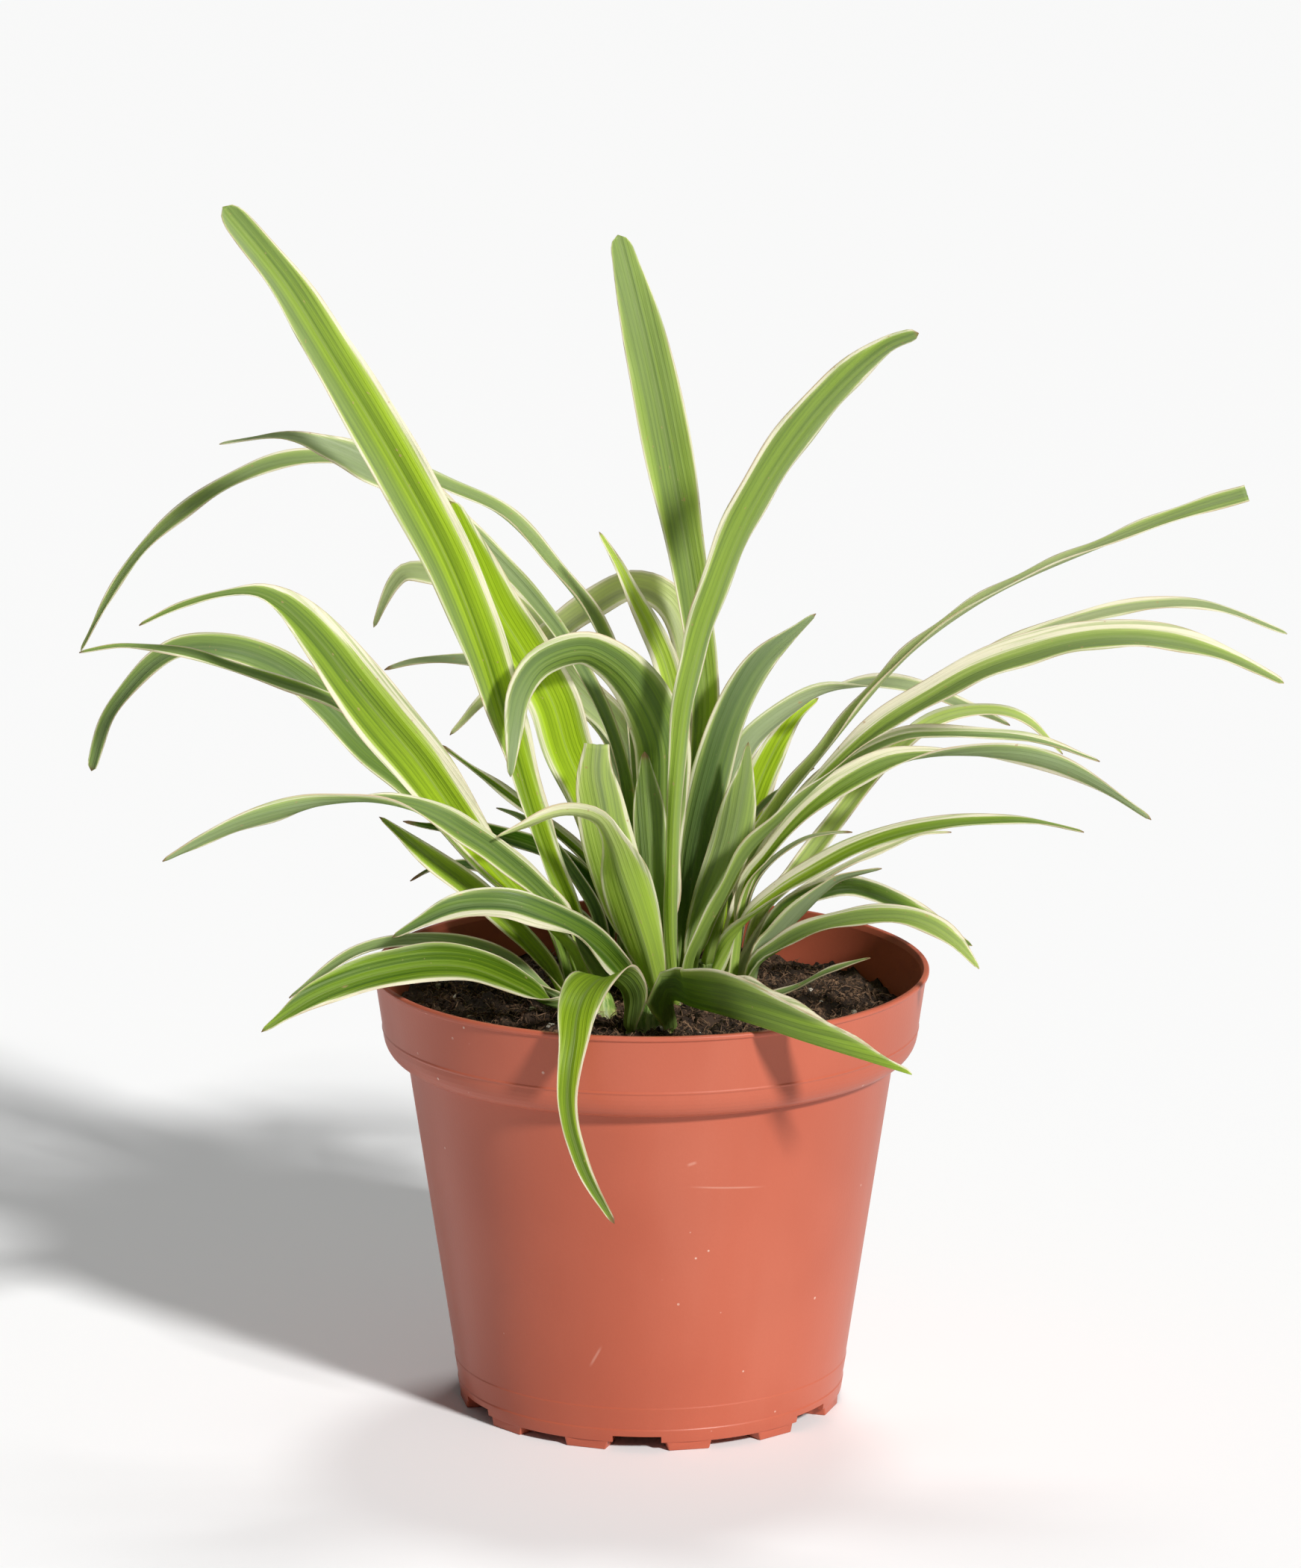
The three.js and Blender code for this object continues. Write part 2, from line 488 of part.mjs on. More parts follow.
function makeRightLeaves() {
  leaf("low_right", "right", 225, INNER_ROOT,
    [[17, 99], [20.5, 103.3], [28.1, 109.4], [35.7, 114], [43.2, 118.1], [50.8, 121.1], [58.4, 123],
      [69.7, 124.4], [81.1, 124.7], [92.8, 122.3]],
    { back: [-8, -13, -19, -24], wide: [4, 6, 6.5, 6, 4, 1], turn: [60, 50, 60, 60] });
  leaf("mid_right", "right", 345, INNER_ROOT,
    [[21, 111], [25, 116.5], [30, 122.7], [35.5, 128], [43, 133.3], [51, 137.2], [58.4, 138.6], [66, 139],
      [74, 138.9], [81, 138], [88.7, 135.7], [96.2, 132], [107.2, 124.9]],
    { back: [-1, -4, -7, -10], wide: [4, 5, 7, 7, 5, 1.2], turn: [60, 40, 140, 140] });
  leaf("white_edged_right", "right", 95, INNER_ROOT,
    [[20, 108], [31, 126.8], [41.7, 136.7], [53.1, 142.3], [62.2, 143.1], [77.3, 142.7], [84.9, 141.2],
      [96.2, 137.4]],
    { back: [4.5, 5, 5, 4], wide: [4, 5, 6, 6, 4.5, 1.2], turn: [60, 60, 60] });
  leaf("curl_right", "right", 318, OUTER_ROOT,
    [[23, 94], [27, 97], [32, 100], [37, 102], [44, 103.6], [50, 104.1], [55.5, 103.7], [60.5, 101.9],
      [65.5, 98.3], [70.4, 93]],
    { back: [-12.5, -19, -25, -29], wide: [4, 5.5, 6, 6, 6.2, 6.6, 1.4], turn: [60, 50, 50] });
  leaf("grey_right", "right", 355, OUTER_ROOT,
    [[24, 97], [27.1, 99.9], [33.2, 106.3], [37, 110], [40.2, 112.4], [49.5, 114.5]],
    { back: [-6, -8.5, -11], wide: [3.6, 5.6, 6.5, 3, 0.9], turn: [120, 130, 130] });
  leaf("behind_right", "right", 36, OUTER_ROOT,
    [[28, 104], [37.3, 108.9], [42.4, 109.9], [47.5, 108.9], [52.6, 106.8], [57.7, 104.3], [68.9, 97.9]],
    { back: [1, 4, 12, 20], wide: [4, 6, 7.5, 6, 1.2], turn: [60, 50, 40] });
  leaf("tail_right", "right", 68, OUTER_ROOT,
    [[25, 103], [33, 109.5], [43, 115.5], [52, 119.3], [58, 121.8], [64.4, 122.3]],
    { back: [10, 11, 9], wide: [3.6, 3.5, 3, 2.5, 0.9], turn: [60, 60, 60] });
  leaf("thread_right", "right", 286, OUTER_ROOT,
    [[24, 86.5], [31.2, 89], [37.3, 92.1], [42.4, 94.1], [47, 95.4]],
    { back: [-14, -17, -20], wide: [2.6, 2.4, 2.2, 0.8], turn: [60, 60] });
}

function makeFrontLeaves() {
  leaf("front_drop", "front", 215, OUTER_ROOT,
    [[-5, 87.5], [-9.5, 91.2], [-14, 87.8], [-15.8, 83], [-16.5, 77], [-17.4, 71], [-17.8, 65.5],
      [-17.2, 60], [-16, 55.4], [-13.5, 48.7], [-7.7, 38.4]],
    { back: [-28, -54, -64, -67, -68, -68], wide: [5, 10, 12, 10, 6, 4, 3.2, 1.2],
      turn: [90, 90, 90, 90], fold: [30, 14, 12, 12], from: [1, 0, 0.1] });
  leaf("front_right", "front", 325, OUTER_ROOT,
    [[4.6, 86.5], [9, 85.2], [17, 83], [25, 80.5], [33, 77.8], [42, 75], [50, 72.5], [56, 70.5]],
    { back: [-27, -52, -62, -68, -72], wide: [5, 15, 19, 18, 14, 7.5, 1.4], turn: [90, 90, 90, 90],
      fold: [40, 62, 64, 64] });
}

function makeBackLeaves() {
  leaf("slim_arch_left", "back", 232, INNER_ROOT,
    [[-6, 135], [-17, 161], [-25, 172], [-30, 177.7], [-36, 183.8], [-42, 188.5], [-48, 193.4], [-55, 198],
      [-60, 200.2], [-65, 202.7], [-70, 204.6], [-75, 206.4], [-80, 207], [-92.3, 205.3]],
    { back: [12, 11, 9, 5], wide: [4, 4, 3.8, 3.8, 3.8, 4, 4.8, 7.8, 9.8, 3.4, 1], turn: [30, 30, 20, 35, 55] });
  leaf("long_arch_left", "back", 150, INNER_ROOT,
    [[-5, 148], [-12, 167], [-20.5, 178.5], [-32, 190.5], [-44.5, 196.3], [-57, 200.5], [-69, 202],
      [-80, 201], [-90, 197], [-100, 190.5], [-107.5, 184], [-113.5, 176.5], [-122, 161]],
    { back: [22, 26, 28, 30], wide: [4, 5, 6, 6, 6, 5, 1.2], turn: [60, 60, 50, 50] });
  leaf("back_hook_left", "back", 57, INNER_ROOT,
    [[-1, 130], [-8, 145], [-15, 152], [-30, 170], [-40, 176], [-47.5, 177.6], [-52.5, 177.8], [-55, 175.5],
      [-59.3, 166]],
    { back: [33, 46, 60, 68], wide: [4, 6, 8, 9, 7, 1.2], turn: [20, 20, 30] });
  leaf("back_arch_centre", "back", 340, INNER_ROOT,
    [[7, 112], [9.5, 130], [9, 155], [4, 171], [-4, 174.5], [-13, 170], [-22, 163.5], [-30, 156],
      [-43, 143]],
    { back: [25, 32, 35, 38], wide: [4, 6, 8, 8, 7, 1.2], turn: [20, 20, 30, 40] });
  leaf("back_grey_left", "back", 130, OUTER_ROOT,
    [[-6.5, 125], [-8, 139], [-12, 146.5], [-19, 152.5], [-29, 157], [-39, 158.8], [-50, 158.8], [-57, 157]],
    { back: [30.4, 44.4, 56, 64], wide: [3.4, 6, 7, 6, 1.2], turn: [50, 50, 50] });
  leaf("back_slim_left", "back", 173, OUTER_ROOT,
    [[-10, 110], [-14, 116.5], [-20, 122], [-29, 129], [-45, 141]],
    { back: [25.8, 36, 52], wide: [3.2, 4, 4, 1], turn: [50, 50] });
  leaf("back_dark_left", "back", 207, OUTER_ROOT,
    [[-11, 106.5], [-16, 113], [-24, 118.5], [-33, 121.5], [-40, 123], [-47, 123.3], [-53, 124.6]],
    { back: [20.8, 31, 42], wide: [3.4, 6, 6.5, 5, 1], turn: [50, 50, 50] });
  leaf("low_tip_left", "back", 242, OUTER_ROOT,
    [[-14, 102], [-24, 109], [-33, 113.5], [-41, 115], [-47, 114.2], [-51.5, 111.8]],
    { back: [15, 22, 30], wide: [3.4, 5, 5.5, 4, 1], turn: [60, 60, 60] });
  leaf("back_centre", "back", 14, OUTER_ROOT,
    [[4.5, 114], [7.5, 128], [9, 135], [9.5, 139], [10, 136], [10.5, 127]],
    { back: [33, 54, 72, 84], wide: [3.4, 6, 11, 9, 1.4], turn: [0, 40, 0] });
  leaf("back_left", "back", 50, OUTER_ROOT,
    [[1, 108], [-3, 122], [-8, 131], [-11, 133.5], [-12.5, 130], [-13.5, 124]],
    { back: [35, 54, 70, 80], wide: [3.4, 6, 10, 8, 1.4], turn: [0, 30, 0] });
  leaf("back_drop_left", "back", 88, OUTER_ROOT,
    [[-5, 106], [-7.5, 112], [-9, 115], [-9.5, 113], [-10, 106], [-10.5, 95], [-10.5, 85]],
    { back: [34, 54, 68, 76, 80], wide: [3.4, 6, 10, 9, 6, 1.4], turn: [0, 0, 0] });
}

function makeBackRightLeaves() {
  leaf("stiff_right", "back_right", 258, INNER_ROOT,
    [[17, 111], [22, 120], [28.1, 128.3], [35.7, 137.8], [50.8, 156], [58.4, 163.2], [73.5, 173.4],
      [94.7, 183], [115.2, 190.8], [127.7, 194.6]],
    { back: [10.5, 9.5, 8, 8], wide: [3.8, 4.5, 5.5, 6, 6, 5.5, 4.2], turn: [50, 75, 78, 70, 30] });
  leaf("pale_tip_right", "back_right", 345, INNER_ROOT,
    [[21, 114], [28, 123.5], [43, 139], [58.4, 151], [69.7, 158], [80.3, 163.5], [96.2, 168.8],
      [107.6, 170.7], [118.9, 170.7], [136.3, 164.7]],
    { back: [13, 12, 10, 8], wide: [4, 5, 5.5, 5.5, 5, 4, 1.2], turn: [60, 60, 50, 50] });
  leaf("grey_arch_right", "back_right", 90, INNER_ROOT,
    [[16, 126], [20.5, 139.7], [25.1, 145], [35.7, 151.8], [43.2, 153.5], [50.8, 153.9], [58.4, 152.6],
      [66, 149.9], [77, 145.1]],
    { back: [24, 33, 44, 54], wide: [4, 6, 6.5, 6, 5, 1.4], turn: [150, 140, 50, 50] });
  leaf("lime_right", "back_right", 62, OUTER_ROOT,
    [[18, 112], [21, 126], [25, 137], [31, 147], [36, 151]],
    { back: [26, 44, 62], wide: [3.6, 8, 9, 6, 1.2], turn: [10, 10, 10] });
  leaf("slim_lime_right", "back_right", 353, OUTER_ROOT,
    [[25, 106], [31, 113], [41, 126], [50, 137], [58.4, 144.6], [66, 147.6], [75, 148], [81.1, 145.7],
      [88.3, 138.9]],
    { back: [16, 24, 34, 44], wide: [4, 5, 5.5, 5, 4, 1], turn: [30, 40, 50] });
  leaf("thin_brown_right", "back_right", 320, OUTER_ROOT,
    [[22, 110.5], [27, 117], [33, 121], [38, 122], [43.2, 122.3]],
    { back: [9, 7, 5], wide: [3.2, 3, 2.2, 0.8], turn: [60, 60] });
  leaf("thin_grey_right", "back_right", 26, OUTER_ROOT,
    [[18, 116], [22.5, 126], [28, 131.5], [35, 136]],
    { back: [20, 24, 28], wide: [3.2, 3, 2.2, 0.8], turn: [60, 60] });
  leaf("back_right", "back_right", 98, OUTER_ROOT,
    [[16.5, 112], [18.5, 123], [19.5, 129], [20, 131.5], [20.5, 129], [20.5, 122]],
    { back: [34, 54, 70, 84], wide: [3.6, 6, 10, 8, 1.4], turn: [0, 30, 0] });
  leaf("back_drop_right", "back_right", 135, OUTER_ROOT,
    [[9.5, 105], [10.5, 111], [12, 114.5], [13, 112.5], [14, 105], [15, 96], [15.5, 88]],
    { back: [32, 55, 71, 78, 82], wide: [3.4, 5, 9, 9, 6, 1.4], turn: [0, 0, 0] });
}

makePot();
makeSoil();
for (const [name, place] of Object.entries(CROWNS)) {
  makeCrown(name, place);
}
makeLeftLeaves();
makeCentreLeaves();
makeRightLeaves();
makeFrontLeaves();
makeBackLeaves();
makeBackRightLeaves();

export default plant;
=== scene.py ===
"""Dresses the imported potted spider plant: pot, soil, crowns and leaves, with the stage around it."""

import math

import bmesh
import bpy
import numpy as np
from mathutils import Matrix, Vector, noise


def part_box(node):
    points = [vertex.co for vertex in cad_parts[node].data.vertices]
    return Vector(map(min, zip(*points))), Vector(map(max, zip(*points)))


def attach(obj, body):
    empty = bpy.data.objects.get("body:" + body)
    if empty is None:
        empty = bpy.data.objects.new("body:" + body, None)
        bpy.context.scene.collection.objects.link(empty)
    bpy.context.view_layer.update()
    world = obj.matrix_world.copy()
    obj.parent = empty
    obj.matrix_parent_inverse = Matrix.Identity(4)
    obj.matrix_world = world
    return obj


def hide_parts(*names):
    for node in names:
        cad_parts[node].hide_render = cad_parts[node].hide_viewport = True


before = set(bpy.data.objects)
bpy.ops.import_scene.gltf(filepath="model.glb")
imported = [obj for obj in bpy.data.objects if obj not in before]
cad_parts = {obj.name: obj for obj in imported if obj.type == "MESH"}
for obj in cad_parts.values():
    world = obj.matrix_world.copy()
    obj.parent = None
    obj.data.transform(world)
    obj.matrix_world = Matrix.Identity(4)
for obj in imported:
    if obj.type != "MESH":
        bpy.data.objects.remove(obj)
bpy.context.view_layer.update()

bl_info = {
    "name": "Potted spider plant",
    "version": (1, 0, 0),
    "blender": (4, 5, 0),
    "location": "3D View > Sidebar > Spider plant",
    "description": "Makes a spider plant in a plastic nursery pot, piece by piece",
    "category": "Add Mesh",
}

MM = 0.001

# The plant is laid out in millimetres from the pot's axis, which lies this far off the origin.
AXIS = np.array([-6.09, -6.03, 0.0])

# How the plant is seen: how far off, how far above the level and at what height
SEEN_DISTANCE = 1500
SEEN_TILT = math.radians(13)
SEEN_HEIGHT = 136
LENS_MM = 160.97
SENSOR_MM = 36

# Pot
BASE_RADIUS = 41.6
BASE_EDGE_HEIGHT = 1.8
BODY_TOP_RADIUS = 52.6
STEP_RADIUS = 53.6
STEP_HEIGHT = 77.2
COLLAR_FOOT_HEIGHT = 82.8
FLOOR_HEIGHT = 3.3
FLOOR_TOP = 4.6
FOOT_PAIRS = 6
FIRST_NOTCH_ANGLE = -94
FOOT_SPREAD = 15.5
FOOT_START = 32.3
FOOT_LENGTH = 9
NOTCH_HALF = 5.2

# Soil
SOIL_RADIUS = 56.5
SOIL_EDGE_HEIGHT = 84.8
SOIL_CROWN_HEIGHT = 87.2

# Crowns, as (across, back) of their centres
CROWNS = {
    "left": (-12, -4),
    "centre": (3, 3),
    "right": (15, -4),
    "front": (0, -19),
    "back": (-3, 18),
    "back_right": (13, 15),
}
CROWN_FOOT_HEIGHT = 74
CROWN_TOP_HEIGHT = 93.2
CROWN_RADIUS = 6

# Leaves: how far out of the crown's middle and how high they leave it
OUTER = (6.4, 88.6)
INNER = (3.3, 94.5)
# The share of a leaf over which its roll changes from its root's to its own
ROOT_SHARE = 0.22
# How far the halves of a leaf usually fold up
FOLDS = [44, 26, 18, 12]
# Leaves whose tips are cut or broken off
SQUARE_TIPS = ("cut_tip", "stiff_right")
LEAVES = {}


def leaf(name, crown, angle, root, path, **more):
    """Notes a leaf, in millimetres and degrees. Lists run from root to tip, evenly except for the path.

    angle: the side of the crown that it leaves, path: where its midrib shows from the front, back: how
    far behind the pot's axis it lies, wide: its width, turn: its roll, fold: how far its halves fold up,
    seen_from: where its roll is measured from, margin: the cream share of each half, lime: how much
    painted glow of light shining through it has, grey: how greyed it is, dark: deep green, pale:
    bleached, tip: how long its dried tip is, uneven: how much wider the margin of the left half is,
    duller: how much painted shade greys the left half, the half turned from the light. The last
    two are below zero where it is the right half. Left and right are as seen on the upper face with the
    tip up.
    """
    LEAVES[name] = dict(crown=crown, angle=angle, root=root, path=path, **more)


# Painted shade greys its left half
leaf("tall_left", "left", 95, INNER,
    [(-16.5, 104), (-23.3, 120), (-31, 145), (-35.6, 160), (-43.5, 180), (-54, 200), (-65.8, 220),
     (-78.4, 240), (-91.5, 256)],
    back=[-1, -6, -12, -20], wide=[4.4, 7, 10, 11.8, 12.2, 9.8, 6], turn=[40, 20, 10, 20, 30],
    margin=[0.16, 0.18, 0.13, 0.08], lime=[0.7, 0.85, 0.8, 0.55], grey=[0, 0, 0.1, 0.4], uneven=-0.4,
    duller=0.5, tip=0)
leaf("wide_left", "left", 215, INNER,
    [(-17, 96.5), (-26, 106), (-33.5, 114), (-37.2, 119), (-40.5, 124), (-49.5, 137), (-57, 146),
     (-64, 154.5), (-69.5, 161.5), (-74.5, 167), (-79.5, 171.2), (-84.5, 173.4), (-92, 173),
     (-100, 170.8), (-109.5, 166.5)],
    back=[-6.5, -9, -18, -28], wide=[4.2, 7, 9.8, 13, 13.5, 10.4, 3.2, 1.2], turn=[40, 15, 10, 30, 55, 50],
    margin=[0.16, 0.22, 0.22, 0.2], lime=[0.9, 0.85, 0.5, 0.2], grey=[0, 0, 0.2, 0.4], uneven=-0.25, tip=1)
leaf("long_low_left", "left", 318, INNER,
    [(-18, 103), (-25, 110.5), (-30, 114.8), (-35, 118.8), (-40, 122), (-45, 125), (-51, 127.5),
     (-60, 129), (-70, 128.5), (-80, 126.3), (-90, 123.2), (-104.5, 116)],
    back=[-14, -25, -38, -50], wide=[4.2, 6, 7, 7, 6, 5, 1.2], turn=[40, 30, 90, 140, 130],
    margin=[0.16, 0.24, 0.2, 0.12], lime=0.15, grey=[0.1, 0.3, 0.55, 0.6], uneven=-0.3, tip=1)
leaf("stalk_left", "left", 184, OUTER,
    [(-22, 92.5), (-31, 103), (-38, 109.5), (-48, 117.3), (-58, 125.5)],
    back=[-6, -14, -24], wide=[4.2, 6, 6.6, 5.5, 1], turn=[40, 30, 30],
    margin=0.2, lime=[0.7, 0.65, 0.5], grey=0.15, tip=1)
leaf("front_left", "left", 254, OUTER,
    [(-21.7, 85.4), (-27.3, 88.5), (-38.5, 93), (-46.9, 93.6), (-55.3, 92.4), (-63.7, 90.2),
     (-72.1, 86.8), (-83.3, 79.5)],
    back=[-15, -26, -37, -46], wide=[4.2, 7, 9.5, 9.5, 7, 1.2], turn=[40, 30, 30, 30],
    margin=0.14, lime=0.15, dark=[0.4, 0.25, 0.1, 0.1], grey=[0, 0, 0, 0.2], uneven=0.7, tip=1)
leaf("grey_left", "left", 219, OUTER,
    [(-24, 89.5), (-31, 94.5), (-38.5, 97.2), (-46.9, 98.6), (-55.3, 98.3), (-63.7, 95.8), (-77.4, 86.8)],
    back=[-11.6, -17.5, -22.5, -28], wide=[3.6, 5, 6, 5.5, 4, 1], turn=60,
    margin=0.12, grey=0.75, tip=1)
leaf("strip_left", "left", 146, OUTER,
    [(-22, 102), (-33, 114), (-46, 130), (-58, 143), (-68, 150), (-79, 153.8), (-90, 157.5),
     (-100, 160.5), (-112, 162), (-122.3, 160.7)],
    back=[0, -1, -3, -8], wide=[4, 4, 4.5, 4.5, 3.5, 1], turn=50,
    margin=0.22, grey=[0.2, 0.5, 0.4], lime=0.2, uneven=0.5, tip=1)
leaf("dark_left", "left", 110, OUTER,
    [(-20, 102), (-33, 113), (-45, 127), (-52, 134), (-60, 140.2), (-70, 150.5), (-80, 158), (-90, 161.5),
     (-100, 161.5), (-106, 158.5), (-112, 152.5), (-116.5, 146), (-119.7, 135.3)],
    back=[7, 13, 20, 26], wide=[4, 7, 10, 10.5, 8, 7, 5.4, 2.6], turn=[30, 20, 20, 45, 30],
    margin=0.1, dark=[0.3, 0.3, 0.1, 0], grey=[0, 0.2, 0.5, 0.6], lime=[0.4, 0.1, 0.1], tip=1)
leaf("back_tip_left", "left", 72, OUTER,
    [(-12, 104), (-17, 113), (-23, 121), (-28, 125.5), (-33, 127.5)],
    back=[9, 14, 20], wide=[3.6, 5, 6, 4, 1], turn=60,
    margin=0.15, dark=0.5, grey=0.3)
leaf("twist_left", "centre", 208, OUTER,
    [(-8, 94), (-12, 98), (-17, 101.5), (-23, 104.2), (-30, 106.5), (-38.5, 106.7), (-44.1, 105.4),
     (-55.3, 99.7)],
    back=[-9, -25, -29, -34], wide=[4.2, 7, 8.5, 8, 6, 1.2], turn=[20, 60, 30, 30, 30],
    margin=[0.2, 0.3, 0.3, 0.26], dark=0.3, grey=[0, 0.1, 0.3, 0.3], uneven=0.5, tip=1)
leaf("kinked", "centre", 260, OUTER,
    [(-0.5, 96), (-3, 104), (-6, 113), (-8.2, 120), (-11, 124.8), (-15, 126.3), (-20, 126.2), (-33, 121.3)],
    back=[-8.5, -14, -18, -23], wide=[4.2, 9, 12, 11, 6, 4.6, 1], turn=[180, 170, 130, 120, 120],
    margin=[0.04, 0.08, 0.14, 0.3, 0.35], lime=1, pale=[0, 0.03, 0.1, 0.45, 0.35], tip=0)
# Painted shade greys its left half
leaf("right_arch", "centre", 297, OUTER,
    [(4.5, 100), (4.7, 120), (5.4, 131), (6.2, 140), (7.5, 150), (9.8, 160), (12.8, 170), (20.8, 190),
     (34, 210.5), (50, 226), (57.4, 229)],
    back=[-4, -8, -14, -22], wide=[4, 3.8, 3.6, 5.2, 7.5, 9.4, 10.2, 8.8, 3.2],
    turn=[180, 150, 140, 140, 140],
    margin=[0.05, 0.12, 0.17, 0.17], lime=[0.8, 0.65, 0.6, 0.5], grey=[0, 0.05, 0.1, 0.2], duller=0.45)
leaf("great_right_arch", "centre", 338, OUTER,
    [(9, 95), (15, 107), (20.5, 117.3), (28.1, 125.3), (43.2, 139.5), (50, 145), (58.4, 150.2),
     (69.7, 156.6), (81, 160.7), (92.5, 163.6), (103.8, 164.2), (115.2, 162.6), (126.5, 158.8),
     (135.6, 154.1)],
    back=[-4, -9, -15, -20], wide=[4.2, 5, 6.6, 8.2, 8.8, 7.4, 2], turn=[120, 60, 40, 40, 40],
    margin=[0.16, 0.28, 0.34, 0.28], lime=[0.8, 0.5, 0.4, 0.35], grey=[0, 0.1, 0.25, 0.3],
    pale=[0, 0.05, 0.1, 0.1], uneven=0.5, tip=0)
leaf("short_right", "centre", 15, OUTER,
    [(10.8, 100), (13.2, 108), (15.6, 114), (17.5, 120), (18.8, 126), (19.6, 131), (20.4, 136),
     (20.9, 141.5)],
    back=[3.7, 2, 0], wide=[4, 7, 9.6, 8, 1], turn=[160, 170, 160],
    margin=0.14, grey=[0.2, 0.3, 0.3], lime=0.6, pale=0.05)
leaf("tall_centre", "centre", 62, OUTER,
    [(8, 105), (9.3, 120), (11, 140), (11.5, 150), (10.9, 160), (9.6, 170), (8.1, 180), (6.4, 190),
     (4.6, 200), (0.6, 220), (-4.3, 240), (-7, 250)],
    back=[15, 20, 26, 32], wide=[4, 5, 5.6, 6.2, 6.9, 7.5, 9, 11.1, 10.8, 8.7, 4.5], turn=[10, 0, 0, 10],
    margin=[0.08, 0.14, 0.06, 0.04], lime=[0.8, 0.6, 0.45, 0.35], grey=[0, 0.15, 0.3, 0.5],
    pale=[0.1, 0.08, 0.05, 0.05], tip=0)
leaf("small_lime", "centre", 100, OUTER,
    [(3.5, 105), (5.3, 128), (5, 150), (3, 158.5), (0, 165.5), (-3.6, 172.5), (-7, 179.5), (-11, 186.5)],
    back=[12, 13, 14], wide=[3.8, 5, 6.3, 5.5, 1], turn=10,
    margin=[0.2, 0.3, 0.34], lime=1, pale=[0, 0.1, 0.1])
leaf("lime_left", "centre", 168, OUTER,
    [(-7, 106), (-9.5, 115), (-13, 128), (-18, 140), (-21, 150), (-26.5, 160), (-32.5, 170), (-37, 180),
     (-43, 193)],
    back=[6, 6, 4, 2], wide=[4.4, 8, 11, 12, 10, 4], turn=[20, 10, 10, 10],
    margin=0.2, lime=[0.9, 0.95, 0.9, 0.7])
leaf("cut_tip", "centre", 200, INNER,
    [(-3, 100), (-5.5, 107), (-7.5, 114), (-9.5, 122), (-10.8, 129), (-11.8, 135), (-11.5, 141)],
    back=[-4.5, -7, -9], wide=[4, 10, 12, 12, 10, 5.5], turn=[170, 180, 180],
    margin=[0.05, 0.12, 0.16], lime=1, pale=[0.05, 0.1, 0.2], tip=0)
leaf("central_arch", "centre", 115, INNER,
    [(3.4, 106), (2.8, 118), (2.8, 130), (2.5, 141), (-0.5, 149), (-4.5, 155), (-9, 159), (-13.5, 161),
     (-18.8, 160.3), (-24, 157.5), (-27.5, 152), (-29, 145), (-30, 134)],
    back=[4.3, 3.8, 1, -11, -18], wide=[4, 6, 9.6, 13, 12.4, 9.6, 8.4, 6, 1.4],
    turn=[180, 180, 158, 140, 165],
    margin=[0.1, 0.14, 0.16, 0.22, 0.24], lime=[0.3, 0.25, 0.25, 0.1], dark=[0.5, 0.5, 0.45, 0.3, 0],
    grey=[0, 0, 0, 0.1, 0.8], tip=0)
leaf("short_grey", "centre", 288, INNER,
    [(0.8, 106), (0.3, 117), (-0.3, 125), (-1.3, 139.5)],
    back=[-0.4, 0], wide=[3.6, 7.5, 8, 7, 1.6], turn=180,
    margin=0.12, grey=0.3, dark=0.2, lime=0.3, tip=2)
# Painted shade greys its left half
leaf("dark_right", "centre", 32, INNER,
    [(8.2, 106), (10, 118.5), (12, 128), (14.5, 138), (17, 146), (20.5, 153.5), (25, 160), (35.4, 169)],
    back=[8, 8, 9, 10], wide=[4, 7, 9.5, 9.5, 7, 1.2], turn=[180, 160, 150, 150],
    margin=0.12, dark=[0.65, 0.7, 0.35, 0], grey=[0, 0, 0.15, 0.75], lime=[0.15, 0.1, 0], duller=0.3)
leaf("low_right", "right", 225, INNER,
    [(17, 99), (20.5, 103.3), (28.1, 109.4), (35.7, 114), (43.2, 118.1), (50.8, 121.1), (58.4, 123),
     (69.7, 124.4), (81.1, 124.7), (92.8, 122.3)],
    back=[-8, -13, -19, -24], wide=[4, 6, 6.5, 6, 4, 1], turn=[60, 50, 60, 60],
    margin=[0.34, 0.36, 0.26, 0.16], lime=[0.8, 0.4, 0.2], grey=[0, 0.1, 0.4], uneven=0.3, tip=1)
leaf("mid_right", "right", 345, INNER,
    [(21, 111), (25, 116.5), (30, 122.7), (35.5, 128), (43, 133.3), (51, 137.2), (58.4, 138.6), (66, 139),
     (74, 138.9), (81, 138), (88.7, 135.7), (96.2, 132), (107.2, 124.9)],
    back=[-1, -4, -7, -10], wide=[4, 5, 7, 7, 5, 1.2], turn=[60, 40, 140, 140],
    margin=[0.3, 0.36, 0.28, 0.18], lime=[0.7, 0.3, 0], grey=[0, 0.2, 0.7, 0.8], uneven=0.5, tip=1)
leaf("white_edged_right", "right", 95, INNER,
    [(20, 108), (31, 126.8), (41.7, 136.7), (53.1, 142.3), (62.2, 143.1), (77.3, 142.7), (84.9, 141.2),
     (96.2, 137.4)],
    back=[4.5, 5, 5, 4], wide=[4, 5, 6, 6, 4.5, 1.2], turn=60,
    margin=[0.36, 0.36, 0.32], grey=[0, 0.3, 0.7, 0.8], lime=[0.7, 0.3, 0], uneven=0.5, tip=1)
leaf("curl_right", "right", 318, OUTER,
    [(23, 94), (27, 97), (32, 100), (37, 102), (44, 103.6), (50, 104.1), (55.5, 103.7), (60.5, 101.9),
     (65.5, 98.3), (70.4, 93)],
    back=[-12.5, -19, -25, -29], wide=[4, 5.5, 6, 6, 6.2, 6.6, 1.4], turn=[60, 50, 50],
    margin=0.16, grey=[0.2, 0.45, 0.4, 0.3], lime=[0.2, 0.3, 0.45, 0.6], pale=[0, 0, 0.05, 0.15],
    uneven=0.4, tip=0)
